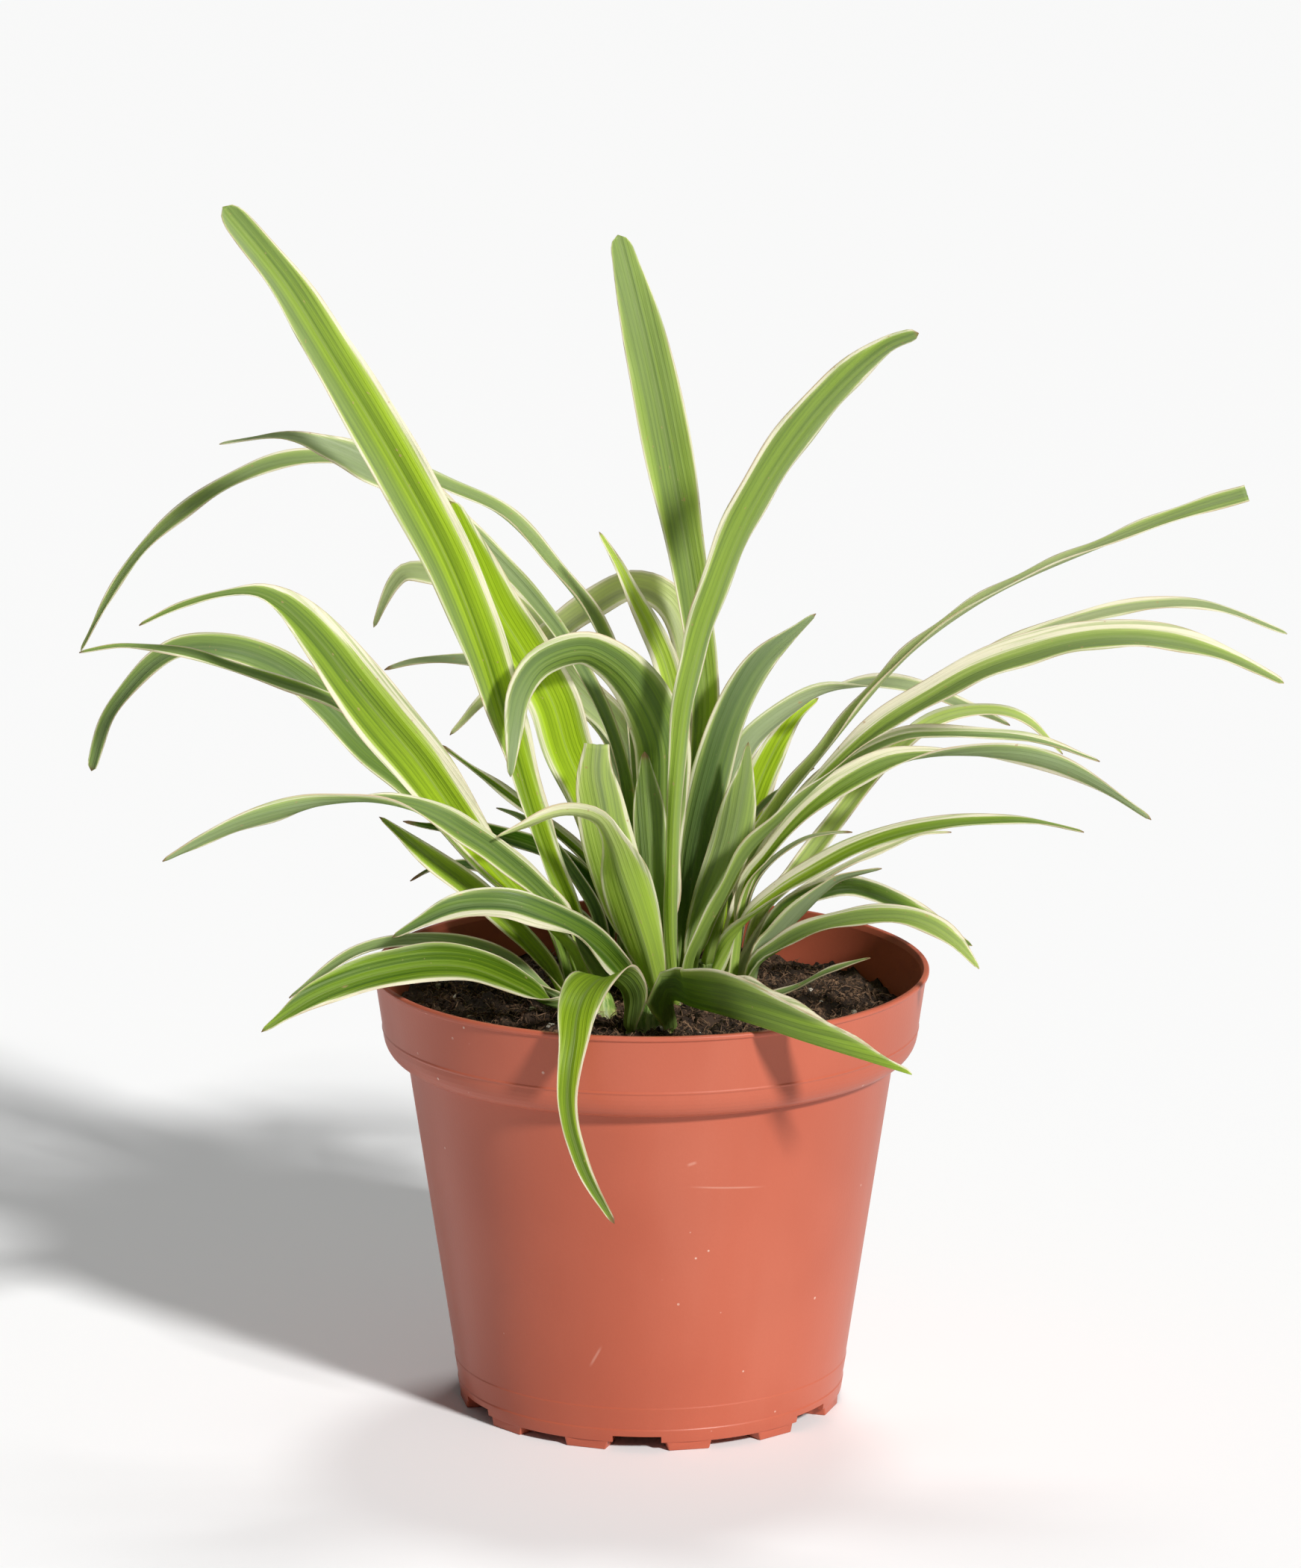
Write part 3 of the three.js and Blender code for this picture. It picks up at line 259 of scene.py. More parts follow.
leaf("grey_right", "right", 355, OUTER,
    [(24, 97), (27.1, 99.9), (33.2, 106.3), (37, 110), (40.2, 112.4), (49.5, 114.5)],
    back=[-6, -8.5, -11], wide=[3.6, 5.6, 6.5, 3, 0.9], turn=[120, 130, 130],
    margin=0.12, grey=0.8, tip=1)
leaf("behind_right", "right", 36, OUTER,
    [(28, 104), (37.3, 108.9), (42.4, 109.9), (47.5, 108.9), (52.6, 106.8), (57.7, 104.3), (68.9, 97.9)],
    back=[1, 4, 12, 20], wide=[4, 6, 7.5, 6, 1.2], turn=[60, 50, 40],
    margin=0.2, grey=0.2, dark=0.2, tip=0)
leaf("tail_right", "right", 68, OUTER,
    [(25, 103), (33, 109.5), (43, 115.5), (52, 119.3), (58, 121.8), (64.4, 122.3)],
    back=[10, 11, 9], wide=[3.6, 3.5, 3, 2.5, 0.9], turn=60,
    margin=0.4, pale=0.5, tip=1)
leaf("thread_right", "right", 286, OUTER,
    [(24, 86.5), (31.2, 89), (37.3, 92.1), (42.4, 94.1), (47, 95.4)],
    back=[-14, -17, -20], wide=[2.6, 2.4, 2.2, 0.8], turn=60,
    margin=0.2, grey=0.5, dark=0.2, tip=1)
leaf("front_drop", "front", 215, OUTER,
    [(-5, 87.5), (-9.5, 91.2), (-14, 87.8), (-15.8, 83), (-16.5, 77), (-17.4, 71), (-17.8, 65.5),
     (-17.2, 60), (-16, 55.4), (-13.5, 48.7), (-7.7, 38.4)],
    back=[-28, -54, -64, -67, -68, -68], wide=[5, 10, 12, 10, 6, 4, 3.2, 1.2], turn=90,
    fold=[30, 14, 12, 12], seen_from=[1, 0, 0.1],
    margin=[0.07, 0.07, 0.12, 0.34], lime=[0.1, 0.4, 0.4, 0.2], dark=[0.3, 0.2, 0.1, 0.1],
    grey=[0, 0, 0.1], uneven=0.3, tip=2)
leaf("front_right", "front", 325, OUTER,
    [(4.6, 86.5), (9, 85.2), (17, 83), (25, 80.5), (33, 77.8), (42, 75), (50, 72.5), (56, 70.5)],
    back=[-27, -52, -62, -68, -72], wide=[5, 15, 19, 18, 14, 7.5, 1.4], turn=90, fold=[40, 62, 64, 64],
    margin=[0.06, 0.1, 0.16, 0.18], lime=[0.05, 0.2, 0.4, 0.6], dark=[0.6, 0.5, 0.2, 0], uneven=0.7, tip=0)
leaf("slim_arch_left", "back", 232, INNER,
    [(-6, 135), (-17, 161), (-25, 172), (-30, 177.7), (-36, 183.8), (-42, 188.5), (-48, 193.4),
     (-55, 198), (-60, 200.2), (-65, 202.7), (-70, 204.6), (-75, 206.4), (-80, 207), (-92.3, 205.3)],
    back=[12, 11, 9, 5], wide=[4, 4, 3.8, 3.8, 3.8, 4, 4.8, 7.8, 9.8, 3.4, 1], turn=[30, 30, 20, 35, 55],
    margin=0.16, grey=[0.4, 0.5, 0.9, 0.95], lime=0.1, pale=[0, 0, 0.08, 0.08], tip=0)
leaf("long_arch_left", "back", 150, INNER,
    [(-5, 148), (-12, 167), (-20.5, 178.5), (-32, 190.5), (-44.5, 196.3), (-57, 200.5), (-69, 202),
     (-80, 201), (-90, 197), (-100, 190.5), (-107.5, 184), (-113.5, 176.5), (-122, 161)],
    back=[22, 26, 28, 30], wide=[4, 5, 6, 6, 6, 5, 1.2], turn=[60, 60, 50, 50],
    margin=0.16, grey=[0.5, 0.6, 0.6, 0.5], lime=0.3, pale=0.06, tip=0)
leaf("back_hook_left", "back", 57, INNER,
    [(-1, 130), (-8, 145), (-15, 152), (-30, 170), (-40, 176), (-47.5, 177.6), (-52.5, 177.8),
     (-55, 175.5), (-59.3, 166)],
    back=[33, 46, 60, 68], wide=[4, 6, 8, 9, 7, 1.2], turn=[20, 20, 30],
    margin=0.2, pale=0.25, grey=0.5, lime=0.35, tip=0)
# Its pale and lime paint light onto a blade whose underside faces the viewer in shade
leaf("back_arch_centre", "back", 340, INNER,
    [(7, 112), (9.5, 130), (9, 155), (4, 171), (-4, 174.5), (-13, 170), (-22, 163.5), (-30, 156),
     (-43, 143)],
    back=[25, 32, 35, 38], wide=[4, 6, 8, 8, 7, 1.2], turn=[20, 20, 30, 40],
    margin=0.25, grey=0.4, lime=0.9, pale=0.4)
leaf("back_grey_left", "back", 130, OUTER,
    [(-6.5, 125), (-8, 139), (-12, 146.5), (-19, 152.5), (-29, 157), (-39, 158.8), (-50, 158.8),
     (-57, 157)],
    back=[30.4, 44.4, 56, 64], wide=[3.4, 6, 7, 6, 1.2], turn=50,
    margin=0.2, grey=0.9, pale=0.15, tip=2)
leaf("back_slim_left", "back", 173, OUTER,
    [(-10, 110), (-14, 116.5), (-20, 122), (-29, 129), (-45, 141)],
    back=[25.8, 36, 52], wide=[3.2, 4, 4, 1], turn=50,
    margin=0.4, lime=0.1, tip=3)
leaf("back_dark_left", "back", 207, OUTER,
    [(-11, 106.5), (-16, 113), (-24, 118.5), (-33, 121.5), (-40, 123), (-47, 123.3), (-53, 124.6)],
    back=[20.8, 31, 42], wide=[3.4, 6, 6.5, 5, 1], turn=50,
    margin=0.1, dark=0.8, tip=3)
leaf("low_tip_left", "back", 242, OUTER,
    [(-14, 102), (-24, 109), (-33, 113.5), (-41, 115), (-47, 114.2), (-51.5, 111.8)],
    back=[15, 22, 30], wide=[3.4, 5, 5.5, 4, 1], turn=60,
    margin=0.12, dark=0.6, grey=0.2, tip=4)
leaf("back_centre", "back", 14, OUTER,
    [(4.5, 114), (7.5, 128), (9, 135), (9.5, 139), (10, 136), (10.5, 127)],
    back=[33, 54, 72, 84], wide=[3.4, 6, 11, 9, 1.4], turn=[0, 40, 0],
    margin=0.2, lime=0.2, dark=0.2)
leaf("back_left", "back", 50, OUTER,
    [(1, 108), (-3, 122), (-8, 131), (-11, 133.5), (-12.5, 130), (-13.5, 124)],
    back=[35, 54, 70, 80], wide=[3.4, 6, 10, 8, 1.4], turn=[0, 30, 0],
    margin=0.2, lime=0.1, dark=0.3, tip=2)
leaf("back_drop_left", "back", 88, OUTER,
    [(-5, 106), (-7.5, 112), (-9, 115), (-9.5, 113), (-10, 106), (-10.5, 95), (-10.5, 85)],
    back=[34, 54, 68, 76, 80], wide=[3.4, 6, 10, 9, 6, 1.4], turn=0,
    margin=0.2, lime=0.2, dark=0.2, tip=2)
leaf("stiff_right", "back_right", 258, INNER,
    [(17, 111), (22, 120), (28.1, 128.3), (35.7, 137.8), (50.8, 156), (58.4, 163.2), (73.5, 173.4),
     (94.7, 183), (115.2, 190.8), (127.7, 194.6)],
    back=[10.5, 9.5, 8, 8], wide=[3.8, 4.5, 5.5, 6, 6, 5.5, 4.2], turn=[50, 75, 78, 70, 30],
    margin=0.12, grey=[0, 0.3, 0.6, 0.5], lime=[0.8, 0.5, 0.3], pale=[0.1, 0.25, 0.3, 0.05], tip=0)
leaf("pale_tip_right", "back_right", 345, INNER,
    [(21, 114), (28, 123.5), (43, 139), (58.4, 151), (69.7, 158), (80.3, 163.5), (96.2, 168.8),
     (107.6, 170.7), (118.9, 170.7), (136.3, 164.7)],
    back=[13, 12, 10, 8], wide=[4, 5, 5.5, 5.5, 5, 4, 1.2], turn=[60, 60, 50, 50],
    margin=0.26, pale=[0, 0.2, 0.35, 0.15], grey=0.5, tip=0)
leaf("grey_arch_right", "back_right", 90, INNER,
    [(16, 126), (20.5, 139.7), (25.1, 145), (35.7, 151.8), (43.2, 153.5), (50.8, 153.9), (58.4, 152.6),
     (66, 149.9), (77, 145.1)],
    back=[24, 33, 44, 54], wide=[4, 6, 6.5, 6, 5, 1.4], turn=[150, 140, 50, 50],
    margin=[0.14, 0.2, 0.22], grey=0.8, dark=[0.3, 0.15, 0], pale=[0, 0.05, 0.2, 0.1], uneven=0.5, tip=1)
leaf("lime_right", "back_right", 62, OUTER,
    [(18, 112), (21, 126), (25, 137), (31, 147), (36, 151)],
    back=[26, 44, 62], wide=[3.6, 8, 9, 6, 1.2], turn=10,
    margin=0.25, lime=1)
leaf("slim_lime_right", "back_right", 353, OUTER,
    [(25, 106), (31, 113), (41, 126), (50, 137), (58.4, 144.6), (66, 147.6), (75, 148), (81.1, 145.7),
     (88.3, 138.9)],
    back=[16, 24, 34, 44], wide=[4, 5, 5.5, 5, 4, 1], turn=[30, 40, 50],
    margin=0.2, lime=0.6, pale=0.2, grey=0.2, tip=1)
leaf("thin_brown_right", "back_right", 320, OUTER,
    [(22, 110.5), (27, 117), (33, 121), (38, 122), (43.2, 122.3)],
    back=[9, 7, 5], wide=[3.2, 3, 2.2, 0.8], turn=60,
    margin=0.1, pale=0.3, grey=0.3, tip=2)
leaf("thin_grey_right", "back_right", 26, OUTER,
    [(18, 116), (22.5, 126), (28, 131.5), (35, 136)],
    back=[20, 24, 28], wide=[3.2, 3, 2.2, 0.8], turn=60,
    margin=0.1, grey=0.7, tip=4)
leaf("back_right", "back_right", 98, OUTER,
    [(16.5, 112), (18.5, 123), (19.5, 129), (20, 131.5), (20.5, 129), (20.5, 122)],
    back=[34, 54, 70, 84], wide=[3.6, 6, 10, 8, 1.4], turn=[0, 30, 0],
    margin=0.2, lime=0.2, dark=0.2, tip=2)
leaf("back_drop_right", "back_right", 135, OUTER,
    [(9.5, 105), (10.5, 111), (12, 114.5), (13, 112.5), (14, 105), (15, 96), (15.5, 88)],
    back=[32, 55, 71, 78, 82], wide=[3.4, 5, 9, 9, 6, 1.4], turn=0,
    margin=0.2, lime=0.1, dark=0.3, tip=2)


# ---- Midribs: where each leaf runs ----


def seen_point(across, up, back):
    """The place of a point that shows at (across, up) from the front and lies that far back."""
    cos = math.cos(SEEN_TILT)
    sin = math.sin(SEEN_TILT)
    rise = (up - SEEN_HEIGHT * cos) / SEEN_DISTANCE
    lift = (rise * (SEEN_DISTANCE + back * cos) - back * sin) / (cos + rise * sin)
    depth = SEEN_DISTANCE + back * cos - lift * sin
    return np.array([across * depth / SEEN_DISTANCE, back, SEEN_HEIGHT + lift])


def along(values, t):
    """A smooth value at t from 0 to 1 along evenly spaced ones, or the one value there is."""
    if not isinstance(values, list):
        return float(values)
    place = min(max(t, 0.0), 1.0) * (len(values) - 1)
    i = min(int(place), len(values) - 2)
    a, b, c, d = (values[min(max(k, 0), len(values) - 1)] for k in range(i - 1, i + 3))
    u = place - i
    return b + 0.5 * u * (c - a + u * (2 * a - 5 * b + 4 * c - d + u * (3 * (b - c) + d - a)))


def smoothstep(low, high, value):
    u = np.clip((value - low) / (high - low), 0.0, 1.0)
    return u * u * (3 - 2 * u)


def run_of(points):
    """How far each point lies along the line through all of them."""
    return np.concatenate([[0], np.cumsum(np.linalg.norm(np.diff(points, axis=0), axis=1))])


class Midrib:
    """A smooth line from the crown through the leaf's points, with places by share of its length."""

    STEPS = 200

    def __init__(self, points):
        points = np.array(points, float)
        first = 2 * points[0] - points[1]
        last = 2 * points[-1] - points[-2]
        self.points = np.vstack([first, points, last])
        self.spans = len(points) - 1
        self.shares = np.linspace(0, 1, self.STEPS + 1)
        self.run = run_of([self.at(t) for t in self.shares])
        self.length = self.run[-1]

    def at(self, t):
        place = t * self.spans
        i = min(int(place), self.spans - 1)
        u = place - i
        p0, p1, p2, p3 = self.points[i : i + 4]
        d0, d1, d2 = (max(np.linalg.norm(q - p), 1e-4) ** 0.5 for p, q in ((p0, p1), (p1, p2), (p2, p3)))
        t1 = ((p1 - p0) / d0 - (p2 - p0) / (d0 + d1) + (p2 - p1) / d1) * d1
        t2 = ((p2 - p1) / d1 - (p3 - p1) / (d1 + d2) + (p3 - p2) / d2) * d1
        return p1 + u * (t1 + u * (-3 * p1 + 3 * p2 - 2 * t1 - t2 + u * (2 * p1 - 2 * p2 + t1 + t2)))

    def spot(self, share):
        return np.interp(share * self.length, self.run, self.shares)

    def place(self, share):
        return self.at(self.spot(share))

    def heading(self, share):
        t = self.spot(share)
        step = self.at(min(t + 1e-4, 1)) - self.at(max(t - 1e-4, 0))
        return step / np.linalg.norm(step)


def outward(degrees):
    angle = math.radians(degrees)
    return np.array([math.cos(angle), math.sin(angle), 0.0])


def midrib_of(leaf):
    radius, height = leaf["root"]
    start = outward(leaf["angle"]) * radius + (*CROWNS[leaf["crown"]], height)
    run = run_of(leaf["path"])
    places = [seen_point(x, up, along(leaf["back"], r / run[-1])) for (x, up), r in zip(leaf["path"], run)]
    return Midrib([start, *places])


def blade_frames(leaf, line, shares):
    """The middle, sideways and upward directions, width and fold of a leaf at each share."""
    seen = leaf.get("seen_from", (0, -math.cos(SEEN_TILT), math.sin(SEEN_TILT)))
    to_viewer = np.array(seen, float) / np.linalg.norm(seen)
    inward = -outward(leaf["angle"])
    heading = 1 if leaf["path"][-1][0] < line.points[1][0] else -1
    root_turn = None
    frames = []
    for share in shares:
        t = max(share, 0.0)
        tangent = line.heading(t)
        front = to_viewer - tangent * to_viewer.dot(tangent)
        front /= np.linalg.norm(front)
        raised = np.cross(tangent, front) * heading
        if root_turn is None:
            facing = math.degrees(math.atan2(inward.dot(raised), inward.dot(front)))
            root_turn = facing + 360 * round((along(leaf["turn"], 0) - facing) / 360)
        own = along(leaf["turn"], (t - ROOT_SHARE) / (1 - ROOT_SHARE))
        roll = math.radians(root_turn + (own - root_turn) * smoothstep(0, ROOT_SHARE, t))
        upper = front * math.cos(roll) + raised * math.sin(roll)
        side = np.cross(upper, tangent)
        middle = line.place(t)
        width = along(leaf["wide"], t)
        fold = along(leaf.get("fold", FOLDS), t)
        if share < 0:
            # Inside the crown the blade leans inwards, widens and closes round the others.
            below = -share * line.length
            middle = middle + inward * 0.38 * below - tangent * 0.8 * below
            width *= 1 + 0.1 * below
            fold = min(fold + 4 * below, 62)
        frames.append((middle, side, upper, width, math.radians(fold)))
    return frames


# ---- Shared mesh and material helpers ----


def linked(name, data):
    obj = bpy.data.objects.new(name, data)
    bpy.context.scene.collection.objects.link(obj)
    return obj


def mesh_object(name, verts, faces):
    mesh = bpy.data.meshes.new(name)
    mesh.from_pydata([tuple(v) for v in verts], [], faces)
    mesh.polygons.foreach_set("use_smooth", [True] * len(mesh.polygons))
    mesh.update()
    return linked(name, mesh)


def mesh_from(bm, name):
    """The mesh of a BMesh, with its faces turned outward."""
    bmesh.ops.recalc_face_normals(bm, faces=bm.faces)
    mesh = bpy.data.meshes.new(name)
    bm.to_mesh(mesh)
    bm.free()
    return mesh


def keep(obj, slot, *nodes):
    """Rides a finished piece on the part's one body and hides the nodes it stands for. Its slot is not used.
    """
    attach(obj, "root")
    if nodes:
        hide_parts(*nodes)


def plain_mesh(obj):
    """Turns an object with modifiers into the plain mesh they give."""
    graph = bpy.context.evaluated_depsgraph_get()
    mesh = bpy.data.meshes.new_from_object(obj.evaluated_get(graph))
    old = obj.data
    obj.modifiers.clear()
    obj.data = mesh
    mesh.name = obj.name
    bpy.data.meshes.remove(old)


def grow_with(obj, tree, **values):
    """Runs a geometry node tree on an object, with its inputs given by name."""
    modifier = obj.modifiers.new(tree.name, "NODES")
    modifier.node_group = tree
    sockets = {item.name: item.identifier for item in tree.interface.items_tree if item.item_type == "SOCKET"}
    for name, value in values.items():
        modifier[sockets[name.replace("_", " ").capitalize()]] = value
    plain_mesh(obj)


class Value:
    """What a node gives. Sums with it add the nodes they need, so that a tree reads like a formula."""

    def __init__(self, wiring, socket):
        self.wiring = wiring
        self.socket = socket

    def __add__(self, other):
        return self.wiring.math("ADD", self, other)

    def __sub__(self, other):
        return self.wiring.math("SUBTRACT", self, other)

    def __rsub__(self, other):
        return self.wiring.math("SUBTRACT", other, self)

    def __mul__(self, other):
        return self.wiring.math("MULTIPLY", self, other)

    def __truediv__(self, other):
        return self.wiring.math("DIVIDE", self, other)

    def __abs__(self):
        return self.wiring.math("ABSOLUTE", self)

    def ramp(self, low, high, to_low=0.0, to_high=1.0):
        """Takes a range of this value smoothly to another range, and holds it at the ends."""
        inputs = {"Value": self, "From Min": low, "From Max": high, "To Min": to_low, "To Max": to_high}
        return self.wiring.node("ShaderNodeMapRange", inputs, interpolation_type="SMOOTHSTEP")


class Wiring:
    """Adds nodes to a tree and wires them by naming what feeds each input."""

    def __init__(self, tree):
        self.tree = tree

    def node(self, kind, inputs=(), out=0, **settings):
        node = self.tree.nodes.new(kind)
        for key, value in settings.items():
            setattr(node, key, value)
        for key, value in dict(inputs).items():
            self.feed(node.inputs[key], value)
        return Value(self, node.outputs[out])

    def feed(self, socket, value):
        if isinstance(value, Value):
            self.tree.links.new(value.socket, socket)
        elif socket.type == "RGBA":
            socket.default_value = (*value, 1.0)
        else:
            socket.default_value = value

    def math(self, operation, *values):
        return self.node("ShaderNodeMath", dict(enumerate(values)), operation=operation)

    def vmath(self, operation, *values, out=0):
        return self.node("ShaderNodeVectorMath", dict(enumerate(values)), out, operation=operation)

    def vector(self, x, y, z):
        return self.node("ShaderNodeCombineXYZ", {0: x, 1: y, 2: z})

    def parts(self, vector):
        node = self.tree.nodes.new("ShaderNodeSeparateXYZ")
        self.feed(node.inputs[0], vector)
        return [Value(self, socket) for socket in node.outputs]


class Finish(Wiring):
    """A material being built."""

    def __init__(self, name, **shader):
        self.material = bpy.data.materials.new(name)
        self.material.use_nodes = True
        super().__init__(self.material.node_tree)
        self.shader = self.tree.nodes["Principled BSDF"]
        for key, value in shader.items():
            self.set(key.replace("_", " ").title().replace("Ior", "IOR"), value)

    def set(self, name, value):
        self.feed(self.shader.inputs[name], value)

    def place(self):
        return self.node("ShaderNodeTexCoord", out="Object")

    def attribute(self, name):
        return self.parts(self.node("ShaderNodeAttribute", out="Vector", attribute_name=name))

    def noise(self, vector, scale, detail=2.0, roughness=0.5):
        inputs = {"Vector": vector, "Scale": scale, "Detail": detail, "Roughness": roughness}
        return self.node("ShaderNodeTexNoise", inputs)

    def mix(self, share, first, second):
        """Lays a share of the second colour over the first. 6, 7 and 2 are the node's colour sockets."""
        node = self.tree.nodes.new("ShaderNodeMix")
        node.data_type = "RGBA"
        for key, value in ((0, share), (6, first), (7, second)):
            self.feed(node.inputs[key], value)
        return Value(self, node.outputs[2])

    def bump(self, height, distance, strength=1.0):
        inputs = {"Height": height, "Distance": distance, "Strength": strength}
        self.set("Normal", self.node("ShaderNodeBump", inputs))


class Grower(Wiring):
    """A geometry node tree being built, whose inputs are Values by name."""

    def __init__(self, name, **inputs):
        super().__init__(bpy.data.node_groups.new(name, "GeometryNodeTree"))
        face = self.tree.interface
        face.new_socket("Geometry", in_out="INPUT", socket_type="NodeSocketGeometry")
        for key, kind in inputs.items():
            label = key.replace("_", " ").capitalize()
            face.new_socket(label, in_out="INPUT", socket_type="NodeSocket" + kind)
        face.new_socket("Geometry", in_out="OUTPUT", socket_type="NodeSocketGeometry")
        self.given = self.tree.nodes.new("NodeGroupInput").outputs

    def __getitem__(self, name):
        return Value(self, self.given[name])

    def finish(self, geometry, material):
        """Ends the tree: makes what it gives real and sets its material."""
        real = self.node("GeometryNodeRealizeInstances", {"Geometry": geometry})
        dressed = self.node("GeometryNodeSetMaterial", {"Geometry": real, "Material": material})
        self.feed(self.tree.nodes.new("NodeGroupOutput").inputs[0], dressed)
        return self.tree


# ---- Leaves ----

# How fine the mesh of a blade is, in millimetres, with the least and the most columns of each half
ROW_SPACING = 1.7
FEWEST_ROWS = 36
COLUMN_SPACING = 0.62
FEWEST_COLUMNS = 6
MOST_COLUMNS = 15
# Powers by which rows crowd towards the tip and columns towards the edges
TIP_CROWDING = 1.12
EDGE_CROWDING = 0.85
# How far the rows inside the crown lie below the leaf's start
BURIED_ROWS = (4.6, 3.2, 1.6)
FOLD_SOFTNESS = 0.03
DRIED_LENGTH = 0.6
# Sets the noise of each leaf apart from that of the others
SEED_STEP = 0.731


def blade_faces(rows, columns):
    """The faces of a closed blade whose upper rows come first, and which of them are on its thin sides."""
    faces = []
    thin = []
    lower = rows * columns
    for i in range(rows - 1):
        for j in range(columns - 1):
            a = i * columns + j
            b = a + columns
            faces.append((a, a + 1, b + 1, b))
            faces.append((lower + a, lower + b, lower + b + 1, lower + a + 1))
        for j, order in ((0, 1), (columns - 1, -1)):
            a = i * columns + j
            b = a + columns
            thin.append(len(faces))
            faces.append((a, b, lower + b, lower + a)[::order])
    for i, order in ((0, 1), (rows - 1, -1)):
        for j in range(columns - 1):
            a = i * columns + j
            thin.append(len(faces))
            faces.append((a, lower + a, lower + a + 1, a + 1)[::order])
    return faces, thin


def leaf_mesh(name, leaf, seed, settings):
    """One closed blade along its midrib, with what its material needs kept on its points."""
    line = midrib_of(leaf)
    steps = max(FEWEST_ROWS, round(line.length / ROW_SPACING))
    buried = [-depth / line.length for depth in BURIED_ROWS]
    shares = np.concatenate([buried, 1 - (1 - np.linspace(0, 1, steps)) ** TIP_CROWDING])
    of_half = round(max(leaf["wide"]) / COLUMN_SPACING)
    columns = 2 * min(max(of_half, FEWEST_COLUMNS), MOST_COLUMNS) + 1
    across = np.linspace(-1, 1, columns)
    across = np.sign(across) * np.abs(across) ** EDGE_CROWDING
    sides = np.where(across < 0, -1, 1)
    soft = FOLD_SOFTNESS
    valley = (np.sqrt(across**2 + soft) - math.sqrt(soft)) / (math.sqrt(1 + soft) - math.sqrt(soft))
    end_length = max(2.2, 0.75 * leaf["wide"][-1])
    rng = np.random.default_rng(seed)
    phases = rng.uniform(0, 2 * math.pi, 4)
    waves = rng.uniform(15, 34, 2)
    wave = settings.wave / MM
    dried = leaf.get("tip", DRIED_LENGTH)
    duller = leaf.get("duller", 0.0)
    # Painted shade: the half turned from the light is greyed and glows less
    dull = abs(duller) * smoothstep(0.0, 0.8, across * math.copysign(1, duller))
    rings = {-1: [], 1: []}
    kept = {"blade": [], "tone": [], "edge": [], "ends": []}
    for share, (middle, side, upper, width, fold) in zip(shares, blade_frames(leaf, line, shares)):
        t = min(max(share, 0.0), 1.0)
        run = share * line.length
        left = line.length - run
        half = width / 2
        if name not in SQUARE_TIPS and left < end_length:
            half *= max(math.sqrt(max(1 - (1 - left / end_length) ** 2, 0)), 0.04)
        calm = smoothstep(0, 0.15, t) * min(1.0, left / 8)
        ripples = [wave * math.sin(run / waves[k] * 6.283 + phases[k]) for k in (0, 1)]
        ripple = np.where(across < 0, *ripples) * np.abs(across) ** 3 * calm
        sway = 0.12 * math.sin(run / 23 + phases[2]) * calm
        reach = across * half * math.cos(fold) + sway
        lift = valley * half * math.sin(fold) + ripple
        top = middle + np.outer(reach, side) + np.outer(lift, upper)
        # A blade thins out towards its edges and where it is narrow.
        thick = settings.thickness / MM * (1 - 0.55 * across**2) * (0.55 + 0.45 * min(1, half / 2))
        rings[1].append(top)
        rings[-1].append(top - np.outer(thick, upper))
        lime, grey, dark, margin, pale, uneven = (
            along(leaf.get(key, 0.0), t) for key in ("lime", "grey", "dark", "margin", "pale", "uneven")
        )
        margin *= 0.55 + 0.45 * smoothstep(0.02, 0.22, t)
        tip = 1 - smoothstep(dried * 0.3, dried * 1.2, left) if dried else 0.0
        for key, values in (
            ("blade", (across, run, half)),
            # The tone holds the painted glow and the grey with the painted shade of one half
            ("tone", (lime * (1 - 0.6 * dull), grey + dull, dark)),
            ("edge", (margin * (1 + uneven * sides), pale, seed * SEED_STEP)),
            ("ends", (tip, 1 - smoothstep(-3, 14, run), 1.0)),
        ):
            kept[key].append(np.column_stack([np.broadcast_to(value, columns) for value in values]))
    faces, thin = blade_faces(len(shares), columns)
    obj = mesh_object("blade_" + name, (np.vstack(rings[1] + rings[-1]) + AXIS) * MM, faces)
    marks = np.zeros(len(faces), bool)
    marks[thin] = True
    obj.data.attributes.new("sharp_face", "BOOLEAN", "FACE").data.foreach_set("value", marks)
    note_on_points(obj.data, kept, line.length)
    return obj


def note_on_points(mesh, kept, blade_length):
    """Keeps what the material needs on the points of both faces, and lays the blade out flat."""
    for key, rows in kept.items():
        values = np.vstack(rows * 2)
        if key == "ends":
            values[len(values) // 2 :, 2] = -1
        layer = mesh.attributes.new(key, "FLOAT_VECTOR", "POINT")
        layer.data.foreach_set("vector", values.astype(np.float32).ravel())
    corners = np.zeros(len(mesh.loops), np.int32)
    mesh.loops.foreach_get("vertex_index", corners)
    flat_map = np.vstack(kept["blade"] * 2)[:, :2] * (0.5, 1 / blade_length) + (0.5, 0)
    layer = mesh.uv_layers.new(name="UVMap")
    layer.data.foreach_set("uv", flat_map[corners].astype(np.float32).ravel())


def rib_tree(material):
    """Raises fine ribs that run the length of a blade, on both faces."""
    w = Grower("Leaf ribs", rib_spacing="Float", rib_height="Float")
    blade = w.node("GeometryNodeInputNamedAttribute", {"Name": "blade"}, data_type="FLOAT_VECTOR")
    across, _, half = w.parts(blade)
    rib = w.math("COSINE", across * half / w["Rib spacing"] * (2 * math.pi))
    inside = 1.0 - w.math("POWER", abs(across), 6.0)
    lift = rib * inside * w["Rib height"] * w.math("MINIMUM", half * 0.3, 1.0)
    normal = w.node("GeometryNodeInputNormal")
    shift = w.node("ShaderNodeVectorMath", {0: normal, "Scale": lift}, operation="SCALE")
    moved = w.node("GeometryNodeSetPosition", {"Geometry": w["Geometry"], "Offset": shift})
    return w.finish(moved, material)


